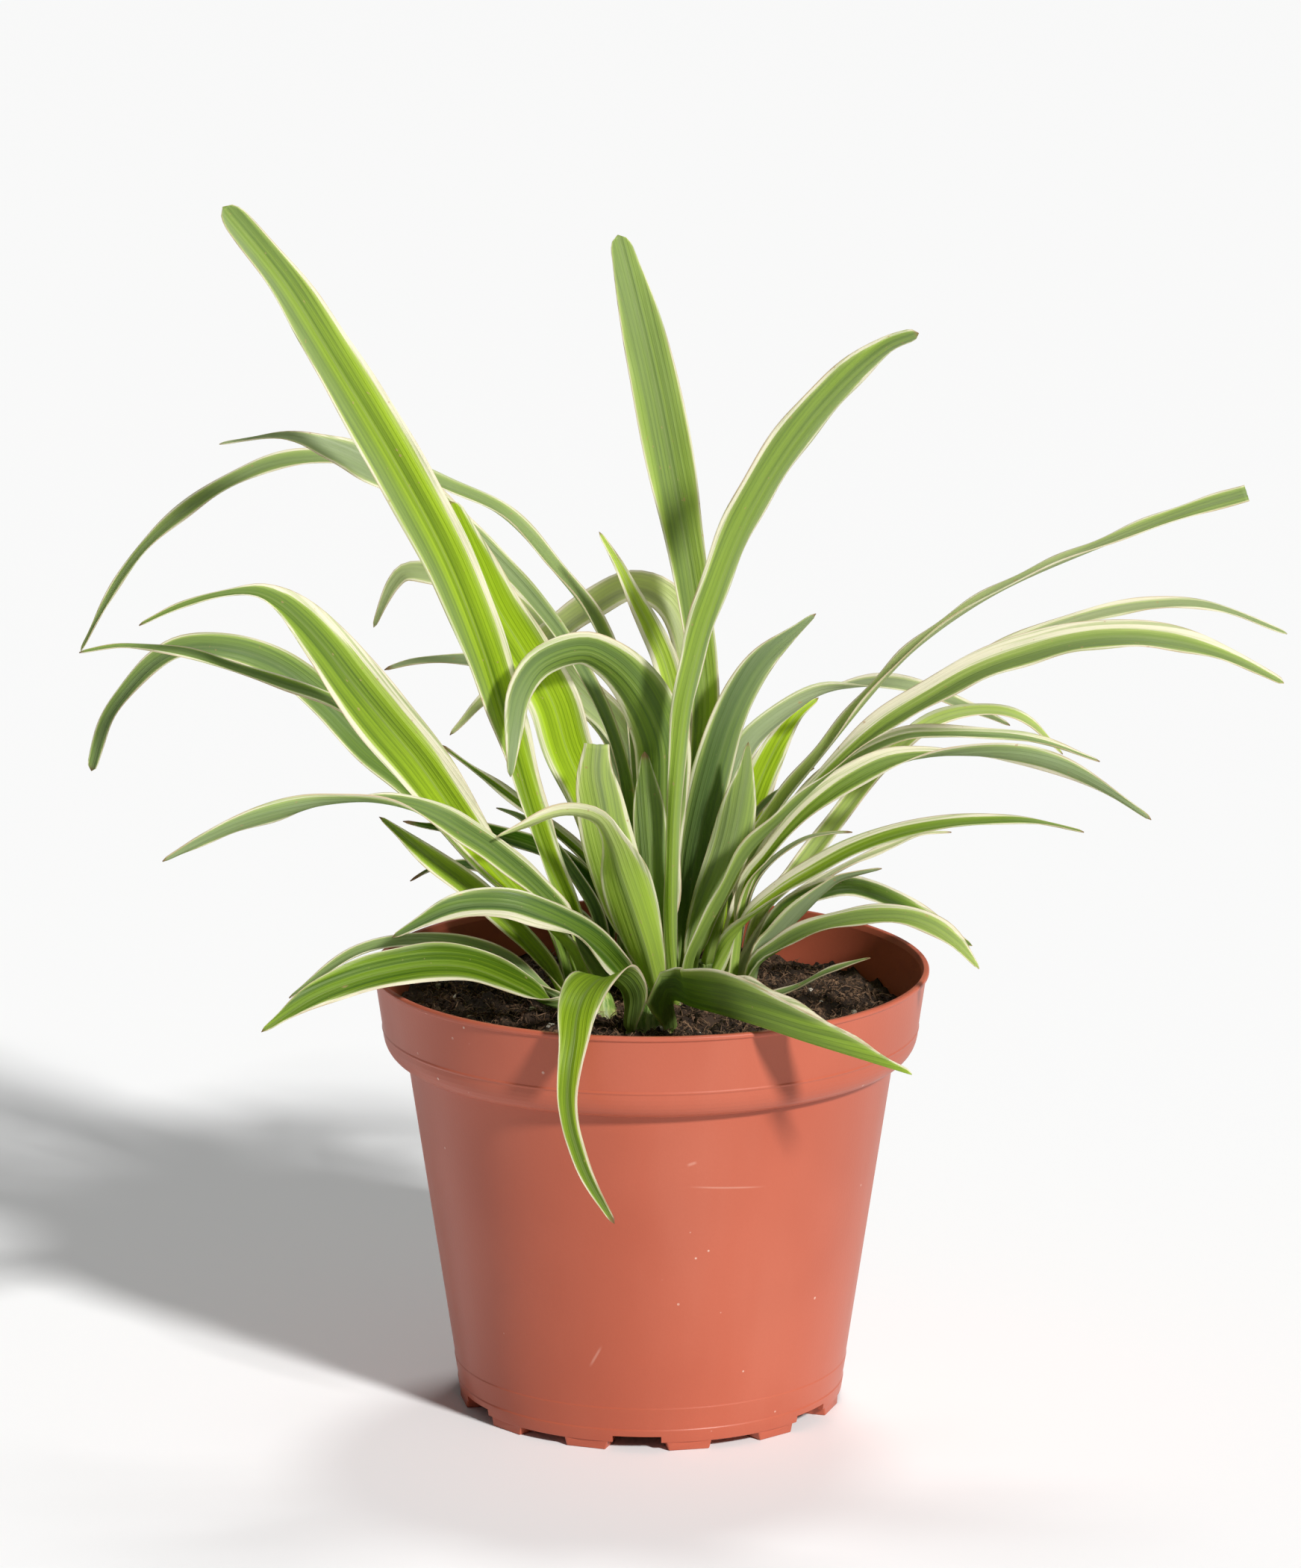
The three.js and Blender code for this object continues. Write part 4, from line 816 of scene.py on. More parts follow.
def leaf_material(colours):
    f = Finish("Leaf blade", specular_ior_level=0.2)
    across, run, half = f.attribute("blade")
    lime, grey, dark = f.attribute("tone")
    margin, pale, seed = f.attribute("edge")
    dried, root, face = f.attribute("ends")
    span = across * half
    inward = 1.0 - abs(across)

    def drawn_out(crosswise, lengthwise, *detail):
        """Noise that is stretched along the blade."""
        return f.noise(f.vector(span * crosswise, run * lengthwise, seed * 17.0), 1.0, *detail)

    fine = drawn_out(1.5, 0.02, 3.0, 0.6)
    broad = drawn_out(0.5, 0.007, 1.0)
    cloud = drawn_out(0.25, 0.06, 2.0)
    spots = drawn_out(0.9, 0.5, 2.0)
    under = face.ramp(0.2, -0.2)
    bleached = f.mix(0.4, colours.lime, colours.cream)

    # The green, with its veins and streaks, the dark band beside the fold, the painted glow of light
    # shining through, the grey underside and the painted shade on the half turned from the light
    vein = f.math("SINE", span * (2 * math.pi / 0.8) + broad * 2.4 + fine * 0.7).ramp(0.35, 1.0)
    streak = fine * 1.7 - 0.7 + (broad * 2.6 - 1.0) - vein * 0.2
    green = f.mix(streak - dark * 0.75, colours.deep, colours.mid)
    # Painted glow: lime laid on where light shines through the blade
    green = f.mix(lime * (streak * 0.6 + 0.58), green, colours.lime)
    green = f.mix(vein * 0.14, green, colours.mid)
    green = f.mix(abs(across).ramp(0.08, 0.6, 0.32, 0.0) * (1.0 - lime * 0.6), green, colours.deep)
    green = f.mix(abs(span).ramp(0.45, 0.1) * (lime * 0.12 + 0.12), green, bleached)
    # The grey carries painted shade on the half of the blade turned from the light
    green = f.mix((grey * 0.9 + under * 0.25) * (cloud * 0.7 + 0.6), green, colours.grey)

    # The cream margins, ragged on their inner side
    depth = inward - margin * (broad * 1.8 + 0.1 + (fine * 1.2 - 0.6))
    green = f.mix(depth.ramp(0.2, 0.0, 0.0, 0.5), green, bleached)
    cream = f.mix(fine.ramp(0.5, 0.62, 0.0, 0.5), colours.cream, colours.mid)
    rim = depth.ramp(0.03, -0.02)
    skin = f.mix(rim, green, cream)
    skin = f.mix(pale, skin, colours.cream)

    # The thin dry edge, the pale root, dry spots and the dried tip
    skin = f.mix((inward * half).ramp(0.2, 0.05) * cloud.ramp(0.38, 0.6, 0.05, 0.6), skin, colours.tan)
    skin = f.mix(root * 0.45, skin, colours.root)
    skin = f.mix(spots.ramp(0.71, 0.76, 0.0, 0.6), skin, colours.tan)
    skin = f.mix(dried, skin, colours.dried)

    f.set("Base Color", skin)
    f.set("Roughness", under * 0.12 + (fine * 0.24 + 0.3))
    f.bump(vein * -0.6 + fine, 0.00018, 0.6)
    # Light that comes through is brighter, and richer in the green than in the margins.
    inputs = {"Color": skin, "Saturation": rim * -0.4 + 1.1, "Value": 1.5, "Hue": 0.49}
    through = f.node("ShaderNodeHueSaturation", inputs)
    glow = f.node("ShaderNodeBsdfTranslucent", {"Color": through})
    both = f.node("ShaderNodeMixShader", {0: 0.45, 1: Value(f, f.shader.outputs[0]), 2: glow})
    f.feed(f.tree.nodes["Material Output"].inputs["Surface"], both)
    return f.material


# ---- Pot ----

POT_SIDES = 216
SHOULDER_STEPS = 8
CORNER_RADIUS = 0.35
SHARP_ANGLE = 38
# How far the collar lies inside the bead of the rim
COLLAR_INSET = 2.3
FOOT_HEIGHT = 3.9
FOOT_HALVES = (4.4, 5.4)
FOOT_ROUNDING = 0.3
NOTCH_LENGTH = 14
DRAIN_LENGTH = 7
DUST_COLOUR = (0.8, 0.62, 0.52)
SCUFF_COLOUR = (0.8, 0.5, 0.4)
# Faint scuffs on the front of the wall: across, up, lean, half length and half width
SCUFFS = [
    (-0.0177, 0.0215, 1.1, 0.0032, 0.0004),
    (0.0026, 0.0660, 0.3, 0.0013, 0.0005),
    (0.0100, 0.0600, -0.1, 0.0090, 0.0003),
]


def softened(profile, radius):
    """Rounds the corners of a profile that turn by more than a few degrees."""
    points = [np.array(p, float) for p in profile]
    result = [points[0]]
    for before, corner, after in zip(points, points[1:], points[2:]):
        back = before - corner
        on = after - corner
        back_length, on_length = np.linalg.norm(back), np.linalg.norm(on)
        opening = math.acos(np.clip(back.dot(on) / back_length / on_length, -1, 1))
        if opening > math.radians(172):
            result.append(corner)
            continue
        cut = min(radius / math.tan(opening / 2), 0.45 * back_length, 0.45 * on_length)
        start = corner + back / back_length * cut
        end = corner + on / on_length * cut
        for u in np.linspace(0, 1, 5):
            result.append((1 - u) ** 2 * start + 2 * u * (1 - u) * corner + u * u * end)
    result.append(points[-1])
    return result


def turned(profile, sides, shape=None):
    """A closed solid of a profile that starts and ends on the axis; shape may change each radius."""
    verts = [(0, 0, profile[0][1])]
    faces = []
    rings = profile[1:-1]
    for radius, height in rings:
        for k in range(sides):
            angle = 2 * math.pi * k / sides
            reach = shape(radius, angle, height) if shape else radius
            verts.append((reach * math.cos(angle), reach * math.sin(angle), height))
    verts.append((0, 0, profile[-1][1]))
    last = len(verts) - 1
    for k in range(sides):
        n = (k + 1) % sides
        faces.append((0, 1 + n, 1 + k))
        for r in range(len(rings) - 1):
            a = 1 + r * sides
            b = a + sides
            faces.append((a + k, a + n, b + n, b + k))
        a = 1 + (len(rings) - 1) * sides
        faces.append((a + k, a + n, last))
    return np.array(verts, float), faces


def pot_profile(s):
    """The pot's half section, from the middle of the base round the wall and back, in millimetres."""
    height = s.height / MM
    rim = s.rim_radius / MM
    wall = s.wall / MM
    slope = (BODY_TOP_RADIUS - BASE_RADIUS) / (STEP_HEIGHT - BASE_EDGE_HEIGHT)

    def inner(up):
        return BASE_RADIUS + (up - BASE_EDGE_HEIGHT) * slope - wall

    shoulder = []
    for i in range(SHOULDER_STEPS + 1):
        angle = i / SHOULDER_STEPS * math.pi / 2
        out = STEP_RADIUS + (rim - COLLAR_INSET - STEP_RADIUS) * math.sin(angle)
        shoulder.append((out, STEP_HEIGHT + (COLLAR_FOOT_HEIGHT - STEP_HEIGHT) * (1 - math.cos(angle))))
    profile = [
        (0, FLOOR_HEIGHT),
        (inner(FLOOR_HEIGHT), FLOOR_HEIGHT),
        (BASE_RADIUS - wall, BASE_EDGE_HEIGHT),
        (BASE_RADIUS, BASE_EDGE_HEIGHT),
        # Two fine rings low on the wall
        (42.05, 4.6),
        (41.9, 4.9),
        (42.7, 9.6),
        (42.6, 9.9),
        (BODY_TOP_RADIUS, STEP_HEIGHT),
        *shoulder,
        (rim - 2.05, COLLAR_FOOT_HEIGHT + 0.4),
        (rim - 2.2, COLLAR_FOOT_HEIGHT + 0.8),
        # The bead at the rim
        (rim - 0.6, height - 1.3),
        (rim, height - 0.9),
        (rim, height - 0.3),
        (rim - 0.3, height),
        (rim - 1.2, height),
        (rim - 1.7, height - 1.3),
        (rim - COLLAR_INSET - wall, COLLAR_FOOT_HEIGHT),
        (BODY_TOP_RADIUS, STEP_HEIGHT + 2.2),
        (BODY_TOP_RADIUS - wall, STEP_HEIGHT),
        (inner(FLOOR_TOP), FLOOR_TOP),
        (0, FLOOR_TOP),
    ]
    return softened(profile, CORNER_RADIUS)


def radial_block(bm, angle, length, outline, round_by=0.0):
    """Adds a block whose long axis runs out from the pot's axis, from an outline of its end."""
    radial = Vector((math.cos(angle), math.sin(angle), 0))
    sideways = Vector((-math.sin(angle), math.cos(angle), 0))
    near, far = (
        [bm.verts.new(radial * start + sideways * x + Vector((0, 0, z))) for x, z in outline]
        for start in (FOOT_START, FOOT_START + length)
    )
    faces = [bm.faces.new(near), bm.faces.new(far[::-1])]
    for i in range(len(outline)):
        n = (i + 1) % len(outline)
        faces.append(bm.faces.new((near[n], near[i], far[i], far[n])))
    if round_by:
        edges = list({edge for face in faces for edge in face.edges})
        bmesh.ops.bevel(bm, geom=edges, offset=round_by, segments=3, affect="EDGES", profile=0.5)


def upright(low, high, low_half, high_half):
    """The outline of a block's end, from its lower to its upper height and half width."""
    return [(-low_half, low), (low_half, low), (high_half, high), (-high_half, high)]


def make_pot(s):
    verts, faces = turned(pot_profile(s), POT_SIDES)
    pot = mesh_object("pot_body", verts, faces)
    foot = upright(0, FOOT_HEIGHT, *FOOT_HALVES)
    notch = upright(-1, FLOOR_HEIGHT, NOTCH_HALF, NOTCH_HALF)
    drain = upright(FLOOR_HEIGHT - 1, FLOOR_TOP + 1, NOTCH_HALF, NOTCH_HALF)
    middles = [math.radians(FIRST_NOTCH_ANGLE + 360 / FOOT_PAIRS * i) for i in range(FOOT_PAIRS)]
    spread = math.radians(FOOT_SPREAD)
    beside = [middle + turn for middle in middles for turn in (-spread, spread)]
    tools = []
    for name, blocks, operation in (
        ("pot_feet", [(angle, FOOT_LENGTH, foot, FOOT_ROUNDING) for angle in beside], "UNION"),
        ("pot_notches", [(angle, NOTCH_LENGTH, notch) for angle in middles], "DIFFERENCE"),
        ("pot_drains", [(angle, DRAIN_LENGTH, drain) for angle in middles], "DIFFERENCE"),
    ):
        bm = bmesh.new()
        for block in blocks:
            radial_block(bm, *block)
        tool = linked(name, mesh_from(bm, name))
        tools.append(tool)
        modifier = pot.modifiers.new(name, "BOOLEAN")
        modifier.operation = operation
        modifier.solver = "EXACT"
        modifier.object = tool
    plain_mesh(pot)
    for tool in tools:
        bpy.data.meshes.remove(tool.data)
    mesh = pot.data
    mesh.transform(Matrix.Scale(MM, 4) @ Matrix.Translation(Vector(AXIS)))
    mesh.set_sharp_from_angle(angle=math.radians(SHARP_ANGLE))
    mesh.materials.clear()
    mesh.materials.append(pot_material(s))
    keep(pot, "pot", "pot")


def pot_material(s):
    f = Finish("Satin terracotta plastic", specular_ior_level=0.32)
    place = f.place()
    x, y, z = f.parts(place)
    grain = f.noise(place, 1700.0, 2.0, 0.6)
    flow = f.noise(f.vector(x * 60.0, y * 60.0, z * 9.0), 1.0, 3.0)
    base = f.mix(f.noise(place, 22.0).ramp(0.3, 0.7), s.shade_colour, s.colour)
    base = f.mix(flow.ramp(0.45, 0.8, 0.0, 0.14), base, s.bloom_colour)
    base = f.mix(grain.ramp(0.35, 0.65, 0.0, 0.1), base, s.shade_colour)
    cells = f.node("ShaderNodeTexVoronoi", {"Vector": place, "Scale": 230.0, "Randomness": 1.0})
    dust = cells.ramp(0.09, 0.05) * f.noise(place, 60.0).ramp(0.55, 0.62)
    base = f.mix(dust * 0.6, base, DUST_COLOUR)
    for across, up, lean, length, thin in SCUFFS:
        dx = x - across
        dz = z - up
        lengthwise = abs(dx * math.cos(lean) + dz * math.sin(lean))
        crosswise = abs(dz * math.cos(lean) - dx * math.sin(lean))
        mark = lengthwise.ramp(length, length * 0.3) * crosswise.ramp(thin, thin * 0.2)
        base = f.mix(mark * y.ramp(-0.03, -0.035) * 0.25, base, SCUFF_COLOUR)
    f.set("Base Color", base)
    f.set("Roughness", flow.ramp(0.3, 0.75, 0.34, 0.47))
    f.bump(grain * 0.6 + dust * 0.8, 0.00006, 0.6)
    return f.material


# ---- Soil ----

SOIL_SIDES = 230
SOIL_RINGS = 92
# Its side, from the middle of the pot's floor up the wall and the shoulder, in millimetres
SOIL_SIDE = [(0, 5.4), (40.4, 5.4), (50.6, 77.0), (51.2, 78.6), (55.6, 82.4), (56.2, 83.6)]
# Its relief, from lumps to crumbs: how many to a millimetre, where the noise is cut and how high
SOIL_WAVES = [(0.11, 1.7, 0.8), (0.3, 4.1, 1.0), (0.9, 8.6, 0.6)]
DRY_CRUMB_COLOUR = (0.16, 0.1, 0.06)
FIBRE_COLOURS = ((0.06, 0.034, 0.02), (0.22, 0.13, 0.075))
GRAIN_COLOURS = ((0.42, 0.36, 0.28), (0.78, 0.74, 0.66))
# Pale grains are counted within this radius, and bits lie only above this height, in metres.
GRAINS_WITHIN = 0.05
STREWN_ABOVE = 0.0835
# The steepest face that bits lie on, as the upward part of its normal
STEEPEST = 0.4


def soil_height(x, y, s):
    share = min(1.0, math.hypot(x, y) / SOIL_RADIUS)
    base = SOIL_EDGE_HEIGHT + (SOIL_CROWN_HEIGHT - SOIL_EDGE_HEIGHT) * (1 - share * share)
    relief = sum(noise.noise(Vector((x * to_mm, y * to_mm, cut))) * high for to_mm, cut, high in SOIL_WAVES)
    return base + relief * s.crumb_height / MM


def make_soil(s):
    radii = np.linspace(0, SOIL_RADIUS, SOIL_RINGS)[1:]
    profile = SOIL_SIDE + [(r, SOIL_EDGE_HEIGHT) for r in radii[::-1]] + [(0, SOIL_CROWN_HEIGHT)]
    verts, faces = turned(profile, SOIL_SIDES)
    for v in verts:
        if v[2] > SOIL_EDGE_HEIGHT - 0.1:
            v[2] = soil_height(v[0], v[1], s)
    soil = mesh_object("soil_bed", (verts + AXIS) * MM, faces)
    colours = (s.dark_colour, s.colour)
    shader = {"roughness": 0.92, "specular_ior_level": 0.25}
    dry = (0.55, 0.75, 0.7, s.dry_colour)
    finish = mottled("Damp potting soil", (90, 3), (0.35, 0.7), colours, (900, 4, 0.7), 6e-4, dry, **shader)
    soil.data.materials.append(finish)
    strew_soil(s, soil.data)
    keep(soil, "soil", "soil")


def strew_soil(s, surface):
    """Strews crumbs, lumps, fibres and pale grains over the soil."""
    colours = (s.dark_colour, s.dry_colour)
    shader = {"roughness": 0.88, "specular_ior_level": 0.25}
    dry = (0.6, 0.8, 0.5, DRY_CRUMB_COLOUR)
    crumbs = mottled("Peat crumbs", (700, 1), (0.35, 0.68), colours, (2600, 3, 0.7), 2e-4, dry, **shader)
    shader = {"roughness": 0.8, "specular_ior_level": 0.3}
    fibres = mottled("Dry fibres", (400, 2), (0.35, 0.65), FIBRE_COLOURS, (3000, 2, 0.5), 1e-4, **shader)
    fine = (2200, 3, 0.7)
    grains = mottled("Perlite grains", fine, (0.35, 0.7), GRAIN_COLOURS, fine, 3e-4, roughness=0.8)
    tree = scatter_tree()
    grain_density = s.grains / (math.pi * GRAINS_WITHIN**2)
    # Each has a shape, a finish, how many lie on a square metre, the least and the greatest scale, a seed,
    # how far it sinks in and how far from the axis it lies.
    for name, shape, finish, density, smallest, largest, seed, sink, reach in (
        ("soil_crumbs", crumb_shape(3), crumbs, 420000.0, 0.6, 1.7, 4, 0.1, 0.0555),
        ("soil_lumps", crumb_shape(8), crumbs, 42000.0, 1.6, 3.6, 9, 0.3, 0.0535),
        ("soil_fibres", fibre_shape(), fibres, 520000.0, 0.4, 1.3, 15, 0.0, 0.053),
        ("soil_grains", crumb_shape(21), grains, grain_density, 1.0, 2.5, 33, 0.1, 0.052),
    ):
        obj = linked(name, surface.copy())
        obj.data.materials.clear()
        sizes = {"density": density, "smallest": smallest, "largest": largest, "sink": sink, "reach": reach}
        grow_with(obj, tree, shape=shape, finish=finish, seed=seed, **sizes)
        bpy.data.objects.remove(shape)
        if not obj.data.polygons:
            raise RuntimeError(name + " came out empty")
        keep(obj, "soil")


def crumb_shape(seed):
    """A rough lump about a millimetre across."""
    bm = bmesh.new()
    bmesh.ops.create_icosphere(bm, subdivisions=1, radius=0.5 * MM)
    rng = np.random.default_rng(seed)
    for vert in bm.verts:
        vert.co *= rng.uniform(0.7, 1.15)
        vert.co.z *= 0.8
    return bpy.data.objects.new("crumb", mesh_from(bm, "crumb"))


def fibre_shape():
    """A bent strand about three millimetres long."""
    bm = bmesh.new()
    rows = 5
    sides = 3
    rings = []
    for t in np.linspace(0, 1, rows):
        middle = Vector(((t - 0.5) * 3.0, 0.7 * math.sin(t * 2.6), 0.5 * math.sin(t * 3.1)))
        radius = 0.12 * (1 - 0.6 * t)
        turns = [2 * math.pi / sides * k for k in range(sides)]
        around = [Vector((0, math.cos(a), math.sin(a))) * radius for a in turns]
        rings.append([bm.verts.new((middle + out) * MM) for out in around])
    for ring, following in zip(rings, rings[1:]):
        for k in range(sides):
            n = (k + 1) % sides
            bm.faces.new((ring[k], ring[n], following[n], following[k]))
    bm.faces.new(rings[0])
    bm.faces.new(rings[-1][::-1])
    return bpy.data.objects.new("fibre", mesh_from(bm, "fibre"))


def scatter_tree():
    """Strews copies of a shape over the upward faces of a surface."""
    w = Grower("Strewn bits", shape="Object", finish="Material", density="Float", smallest="Float",
               largest="Float", sink="Float", reach="Float", seed="Int")
    _, _, up = w.parts(w.node("GeometryNodeInputNormal"))
    from_axis = w.vmath("SUBTRACT", w.node("GeometryNodeInputPosition"), tuple(AXIS * MM))
    x, y, height = w.parts(from_axis)
    radius = w.vmath("LENGTH", w.vector(x, y, 0.0), out="Value")
    facing = w.math("GREATER_THAN", up, STEEPEST)
    high = w.math("GREATER_THAN", height, STREWN_ABOVE)
    where = facing * high * w.math("LESS_THAN", radius, w["Reach"])
    inputs = {"Mesh": w["Geometry"], "Selection": where, "Density": w["Density"], "Seed": w["Seed"]}
    points = w.node("GeometryNodeDistributePointsOnFaces", inputs)
    tilt = {0: (-1.1, -1.1, 0.0), 1: (1.1, 1.1, 6.28), "Seed": 3}
    turn = w.node("FunctionNodeRandomValue", tilt, data_type="FLOAT_VECTOR")
    # 2 and 3 are the node's limits for plain numbers, and 1 is what it gives for them.
    limits = {2: w["Smallest"], 3: w["Largest"], "Seed": 5}
    size = w.node("FunctionNodeRandomValue", limits, out=1, data_type="FLOAT")
    shape = w.node("GeometryNodeObjectInfo", {"Object": w["Shape"]}, out="Geometry")
    inputs = {"Points": points, "Instance": shape, "Rotation": turn, "Scale": size}
    placed = w.node("GeometryNodeInstanceOnPoints", inputs)
    drop = w.vector(0.0, 0.0, w["Sink"] * size * -MM)
    inputs = {"Instances": placed, "Translation": drop, "Local Space": False}
    return w.finish(w.node("GeometryNodeTranslateInstances", inputs), w["Finish"])


def mottled(name, patch, limits, colours, fine, relief, third=None, **shader):
    """A rough finish: two colours in patches, and often a third one on its finer grain."""
    f = Finish(name, **shader)
    place = f.place()
    grain = f.noise(place, *fine)
    base = f.mix(f.noise(place, *patch).ramp(*limits), *colours)
    if third:
        low, high, share, tone = third
        base = f.mix(grain.ramp(low, high, 0.0, share), base, tone)
    f.set("Base Color", base)
    f.bump(grain, relief, 1.0)
    return f.material


# ---- Crowns ----

CROWN_SIDES = 96
# Rings of a crown: a few in the soil and many above it, where it narrows
CROWN_RINGS = (*np.linspace(CROWN_FOOT_HEIGHT, 84, 8), *np.linspace(84.6, 93, 22))

def make_crown(name, material):
    """A short stem wrapped in the sheaths of the leaves that leave it."""
    angles = [math.radians(leaf["angle"]) for leaf in LEAVES.values() if leaf["crown"] == name]

    def clasped(radius, angle, height):
        twist = 0.25 * ((height - CROWN_FOOT_HEIGHT) / 19 - 0.5)
        seam = smoothstep(0.86, 0.99, max(math.cos(angle - a + twist) for a in angles))
        rib = 0.06 * math.cos(angle * 34 + 2 * math.sin(angle * 5))
        return radius * (0.9 + 0.1 * seam) + rib * smoothstep(82, 86, height)

    profile = [(0, CROWN_FOOT_HEIGHT)]
    for h in CROWN_RINGS:
        profile.append((CROWN_RADIUS - 1.6 * smoothstep(84.6, 90, h) - 1.5 * smoothstep(89, 93, h), h))
    profile.append((0, CROWN_TOP_HEIGHT))
    verts, faces = turned(profile, CROWN_SIDES, clasped)
    crown = mesh_object("sheaths_" + name, (verts + (*CROWNS[name], 0) + AXIS) * MM, faces)
    crown.data.materials.append(material)
    keep(crown, "crown", "crown_" + name)


def crown_material(s):
    f = Finish("Leaf sheaths", roughness=0.5)
    place = f.place()
    x, y, z = f.parts(place)
    stripe = f.noise(f.vector(x * 1400.0, y * 1400.0, z * 60.0), 1.0, 3.0)
    base = f.mix(stripe.ramp(0.35, 0.65), s.green_colour, s.pale_colour)
    base = f.mix(f.noise(place, 160.0).ramp(0.5, 0.7, 0.0, 0.5), base, s.green_colour)
    base = f.mix(z.ramp(0.0895, 0.0845, 0.0, 0.8), base, s.husk_colour)
    f.set("Base Color", base)
    f.bump(stripe, 0.0002, 0.7)
    return f.material


# ---- Stage ----

# How far the floor reaches from the middle, in metres
FLOOR_REACH = 15

def sun_light(name, bearing, height, strength, spread, tone):
    """A soft even light from a bearing to the right of the viewer and a height, all in degrees."""
    light = bpy.data.lights.new(name, "SUN")
    light.energy = strength
    light.angle = math.radians(spread)
    light.color = tone
    linked(name, light).rotation_euler = (math.radians(90 - height), 0, math.radians(bearing))


def make_camera():
    aim = Vector(AXIS) * MM + Vector((0, 0, SEEN_HEIGHT * MM))
    data = bpy.data.cameras.new("Camera")
    data.sensor_fit = "VERTICAL"
    data.sensor_height = SENSOR_MM
    data.lens = LENS_MM
    data.clip_end = 100
    camera = linked("Camera", data)
    camera.location = aim + Vector((0, -math.cos(SEEN_TILT), math.sin(SEEN_TILT))) * SEEN_DISTANCE * MM
    camera.rotation_euler = (math.pi / 2 - SEEN_TILT, 0, 0)
    bpy.context.scene.camera = camera


def make_stage(s):
    far = FLOOR_REACH
    verts = [(-far, -far, 0.0), (far, -far, 0.0), (far, far, 0.0), (-far, far, 0.0)]
    floor = mesh_object("floor", verts, [(0, 1, 2, 3)])
    f = Finish("Pale floor", roughness=0.8, specular_ior_level=0.2, base_color=s.floor_colour)
    floor.data.materials.append(f.material)
    world = bpy.data.worlds.new("Studio")
    world.use_nodes = True
    back = world.node_tree.nodes["Background"]
    back.inputs["Color"].default_value = (1, 1, 1, 1)
    back.inputs["Strength"].default_value = s.sky
    bpy.context.scene.world = world
    sun_light("Key", bearing=37, height=33, strength=s.key_strength, spread=7, tone=(1.0, 0.985, 0.96))
    sun_light("Back", bearing=165, height=62, strength=s.back_strength, spread=12, tone=(1.0, 1.0, 0.97))
    bpy.context.scene.view_settings.view_transform = "Standard"


# ---- Settings, operators and panel ----


def length(name, description, default, least=0.0001):
    said = {"name": name, "description": description, "default": default, "min": least}
    return bpy.props.FloatProperty(**said, precision=5, subtype="DISTANCE", unit="LENGTH")


def strength(name, description, default):
    return bpy.props.FloatProperty(name=name, description=description, default=default, min=0)


def tint(name, description, default):
    said = {"name": name, "description": description, "default": default, "min": 0, "max": 1}
    return bpy.props.FloatVectorProperty(**said, size=3, subtype="COLOR")


POT_LOW, POT_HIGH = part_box("pot")
POT_HEIGHT = round(POT_HIGH[2] - POT_LOW[2], 5)
POT_RIM_RADIUS = round((POT_HIGH[0] - POT_LOW[0]) / 2, 5)


class PotSettings(bpy.types.PropertyGroup):
    """Sizes and colours of the pot"""

    height: length("Height", "From the ground to the top of the rim", POT_HEIGHT)
    rim_radius: length("Rim radius", "Half the width across the rim", POT_RIM_RADIUS)
    wall: length("Wall", "How thick the pot's wall is", 0.0012)
    colour: tint("Colour", "Terracotta of the plastic", (0.47, 0.112, 0.062))
    shade_colour: tint("Shade colour", "Darker clouds in the plastic", (0.42, 0.094, 0.05))
    bloom_colour: tint("Bloom colour", "Pale bloom that runs down the wall", (0.54, 0.2, 0.135))


class SoilSettings(bpy.types.PropertyGroup):
    """Sizes and colours of the soil"""

    crumb_height: length("Crumb height", "How far the surface rises and falls", 0.0022)
    grains: bpy.props.IntProperty(name="Pale grains", description="About how many show", default=26, min=0)
    colour: tint("Colour", "Damp soil", (0.05, 0.031, 0.02))
    dark_colour: tint("Dark colour", "Wet soil in the hollows", (0.018, 0.011, 0.007))
    dry_colour: tint("Dry colour", "Dry crumbs and fibres", (0.15, 0.088, 0.052))


class CrownSettings(bpy.types.PropertyGroup):
    """Colours of the crowns"""

    pale_colour: tint("Pale colour", "Bleached base of the sheaths", (0.36, 0.46, 0.13))
    green_colour: tint("Green colour", "Green streaks on the sheaths", (0.13, 0.24, 0.035))
    husk_colour: tint("Husk colour", "Dry husk at the soil", (0.2, 0.13, 0.06))


class LeafSettings(bpy.types.PropertyGroup):
    """Sizes and colours of the leaves"""

    thickness: length("Thickness", "Thickness of a blade along its midrib", 0.00048)
    wave: length("Margin wave", "How far the margins ripple", 0.0003, 0.0)
    rib_spacing: length("Rib spacing", "From one fine rib to the next", 0.0015)
    rib_height: length("Rib height", "How far a fine rib stands up", 0.00005, 0.0)
    deep: tint("Deep green", "Middle band of a blade", (0.05, 0.135, 0.005))
    mid: tint("Mid green", "Streaks of a blade", (0.26, 0.42, 0.025))
    # Lime is also the painted glow of light shining through a blade, besides tinting its pale margins
    lime: tint("Lime", "Where the light comes through", (0.49, 0.66, 0.03))
    cream: tint("Cream", "Margins", (0.84, 0.81, 0.66))
    # Grey green also paints the shade on the half of a blade turned from the light
    grey: tint("Grey green", "Dull underside", (0.36, 0.44, 0.25))
    tan: tint("Tan", "Thin dry line along the edge", (0.56, 0.38, 0.2))
    dried: tint("Dried tip", "Brown of the dry tips", (0.3, 0.19, 0.09))
    root: tint("Root", "Pale foot of a blade", (0.46, 0.6, 0.16))


class StageSettings(bpy.types.PropertyGroup):
    """Light and floor"""

    key_strength: strength("Key light", "Strength from the front right", 3.9)
    back_strength: strength("Back light", "Strength from behind and above", 0.9)
    sky: strength("Sky", "Strength of the even light", 0.13)
    floor_colour: tint("Floor colour", "Pale floor", (0.92, 0.93, 0.95))


class SPIDER_PLANT_OT_stage(bpy.types.Operator):
    """Sets up the floor, the lights and the camera"""

    bl_idname = "spider_plant.stage"
    bl_label = "Stage"

    def execute(self, context):
        make_camera()
        make_stage(context.scene.spider_plant_stage)
        return {"FINISHED"}


class SPIDER_PLANT_OT_pot(bpy.types.Operator):
    """Makes the plastic pot with its feet and drain holes"""

    bl_idname = "spider_plant.pot"
    bl_label = "Pot"

    def execute(self, context):
        make_pot(context.scene.spider_plant_pot)
        return {"FINISHED"}


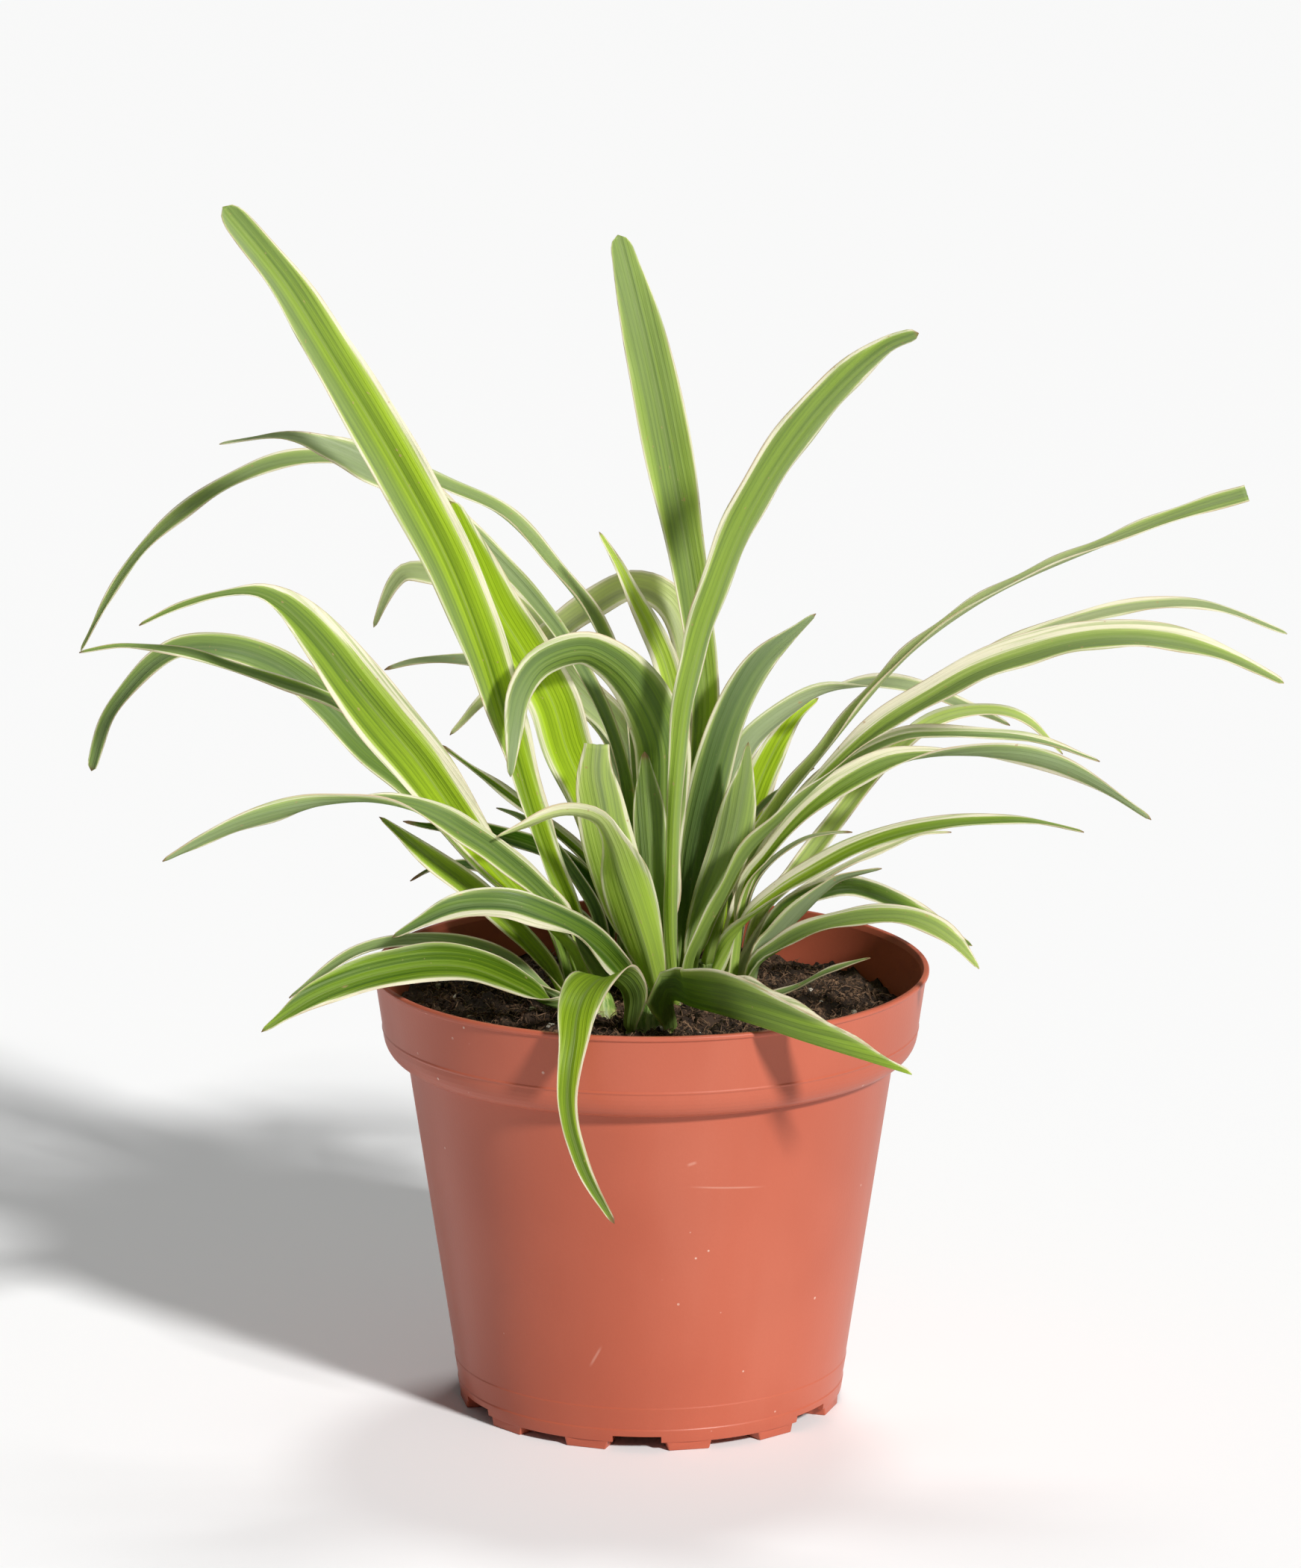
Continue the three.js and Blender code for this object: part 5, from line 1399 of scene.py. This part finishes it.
class SPIDER_PLANT_OT_soil(bpy.types.Operator):
    """Makes the soil with its crumbs, fibres and pale grains"""

    bl_idname = "spider_plant.soil"
    bl_label = "Soil"

    def execute(self, context):
        make_soil(context.scene.spider_plant_soil)
        return {"FINISHED"}


class SPIDER_PLANT_OT_crowns(bpy.types.Operator):
    """Makes the short stems that the leaves clasp"""

    bl_idname = "spider_plant.crowns"
    bl_label = "Crowns"

    def execute(self, context):
        material = crown_material(context.scene.spider_plant_crowns)
        for name in CROWNS:
            make_crown(name, material)
        return {"FINISHED"}


class SPIDER_PLANT_OT_leaves(bpy.types.Operator):
    """Makes every leaf along its midrib"""

    bl_idname = "spider_plant.leaves"
    bl_label = "Leaves"

    def execute(self, context):
        settings = context.scene.spider_plant_leaves
        tree = rib_tree(leaf_material(settings))
        for seed, (name, leaf) in enumerate(LEAVES.items(), 1):
            obj = leaf_mesh(name, leaf, seed, settings)
            grow_with(obj, tree, rib_spacing=settings.rib_spacing / MM, rib_height=settings.rib_height)
            keep(obj, "leaf", "leaf_" + name)
        return {"FINISHED"}


class SPIDER_PLANT_PT_panel(bpy.types.Panel):
    """Lists the pieces and their settings"""

    bl_label = "Potted spider plant"
    bl_space_type = "VIEW_3D"
    bl_region_type = "UI"
    bl_category = "Spider plant"

    def draw(self, context):
        for name in PIECES:
            box = self.layout.box()
            box.operator("spider_plant." + name)
            settings = getattr(context.scene, "spider_plant_" + name)
            for key in settings.bl_rna.properties.keys():
                if key not in ("name", "rna_type"):
                    box.prop(settings, key)


# The settings and the operator of each group of pieces, in the order in which they are made
PIECES = {
    "stage": (StageSettings, SPIDER_PLANT_OT_stage),
    "pot": (PotSettings, SPIDER_PLANT_OT_pot),
    "soil": (SoilSettings, SPIDER_PLANT_OT_soil),
    "crowns": (CrownSettings, SPIDER_PLANT_OT_crowns),
    "leaves": (LeafSettings, SPIDER_PLANT_OT_leaves),
}
CLASSES = [kind for pair in PIECES.values() for kind in pair] + [SPIDER_PLANT_PT_panel]


def register():
    for kind in CLASSES:
        bpy.utils.register_class(kind)
    for name, (settings, _) in PIECES.items():
        setattr(bpy.types.Scene, "spider_plant_" + name, bpy.props.PointerProperty(type=settings))


def unregister():
    for name in PIECES:
        delattr(bpy.types.Scene, "spider_plant_" + name)
    for kind in reversed(CLASSES):
        bpy.utils.unregister_class(kind)


def main():
    register()
    bpy.ops.spider_plant.stage()
    bpy.ops.spider_plant.pot()
    bpy.ops.spider_plant.soil()
    bpy.ops.spider_plant.crowns()
    bpy.ops.spider_plant.leaves()


if __name__ == "__main__":
    main()
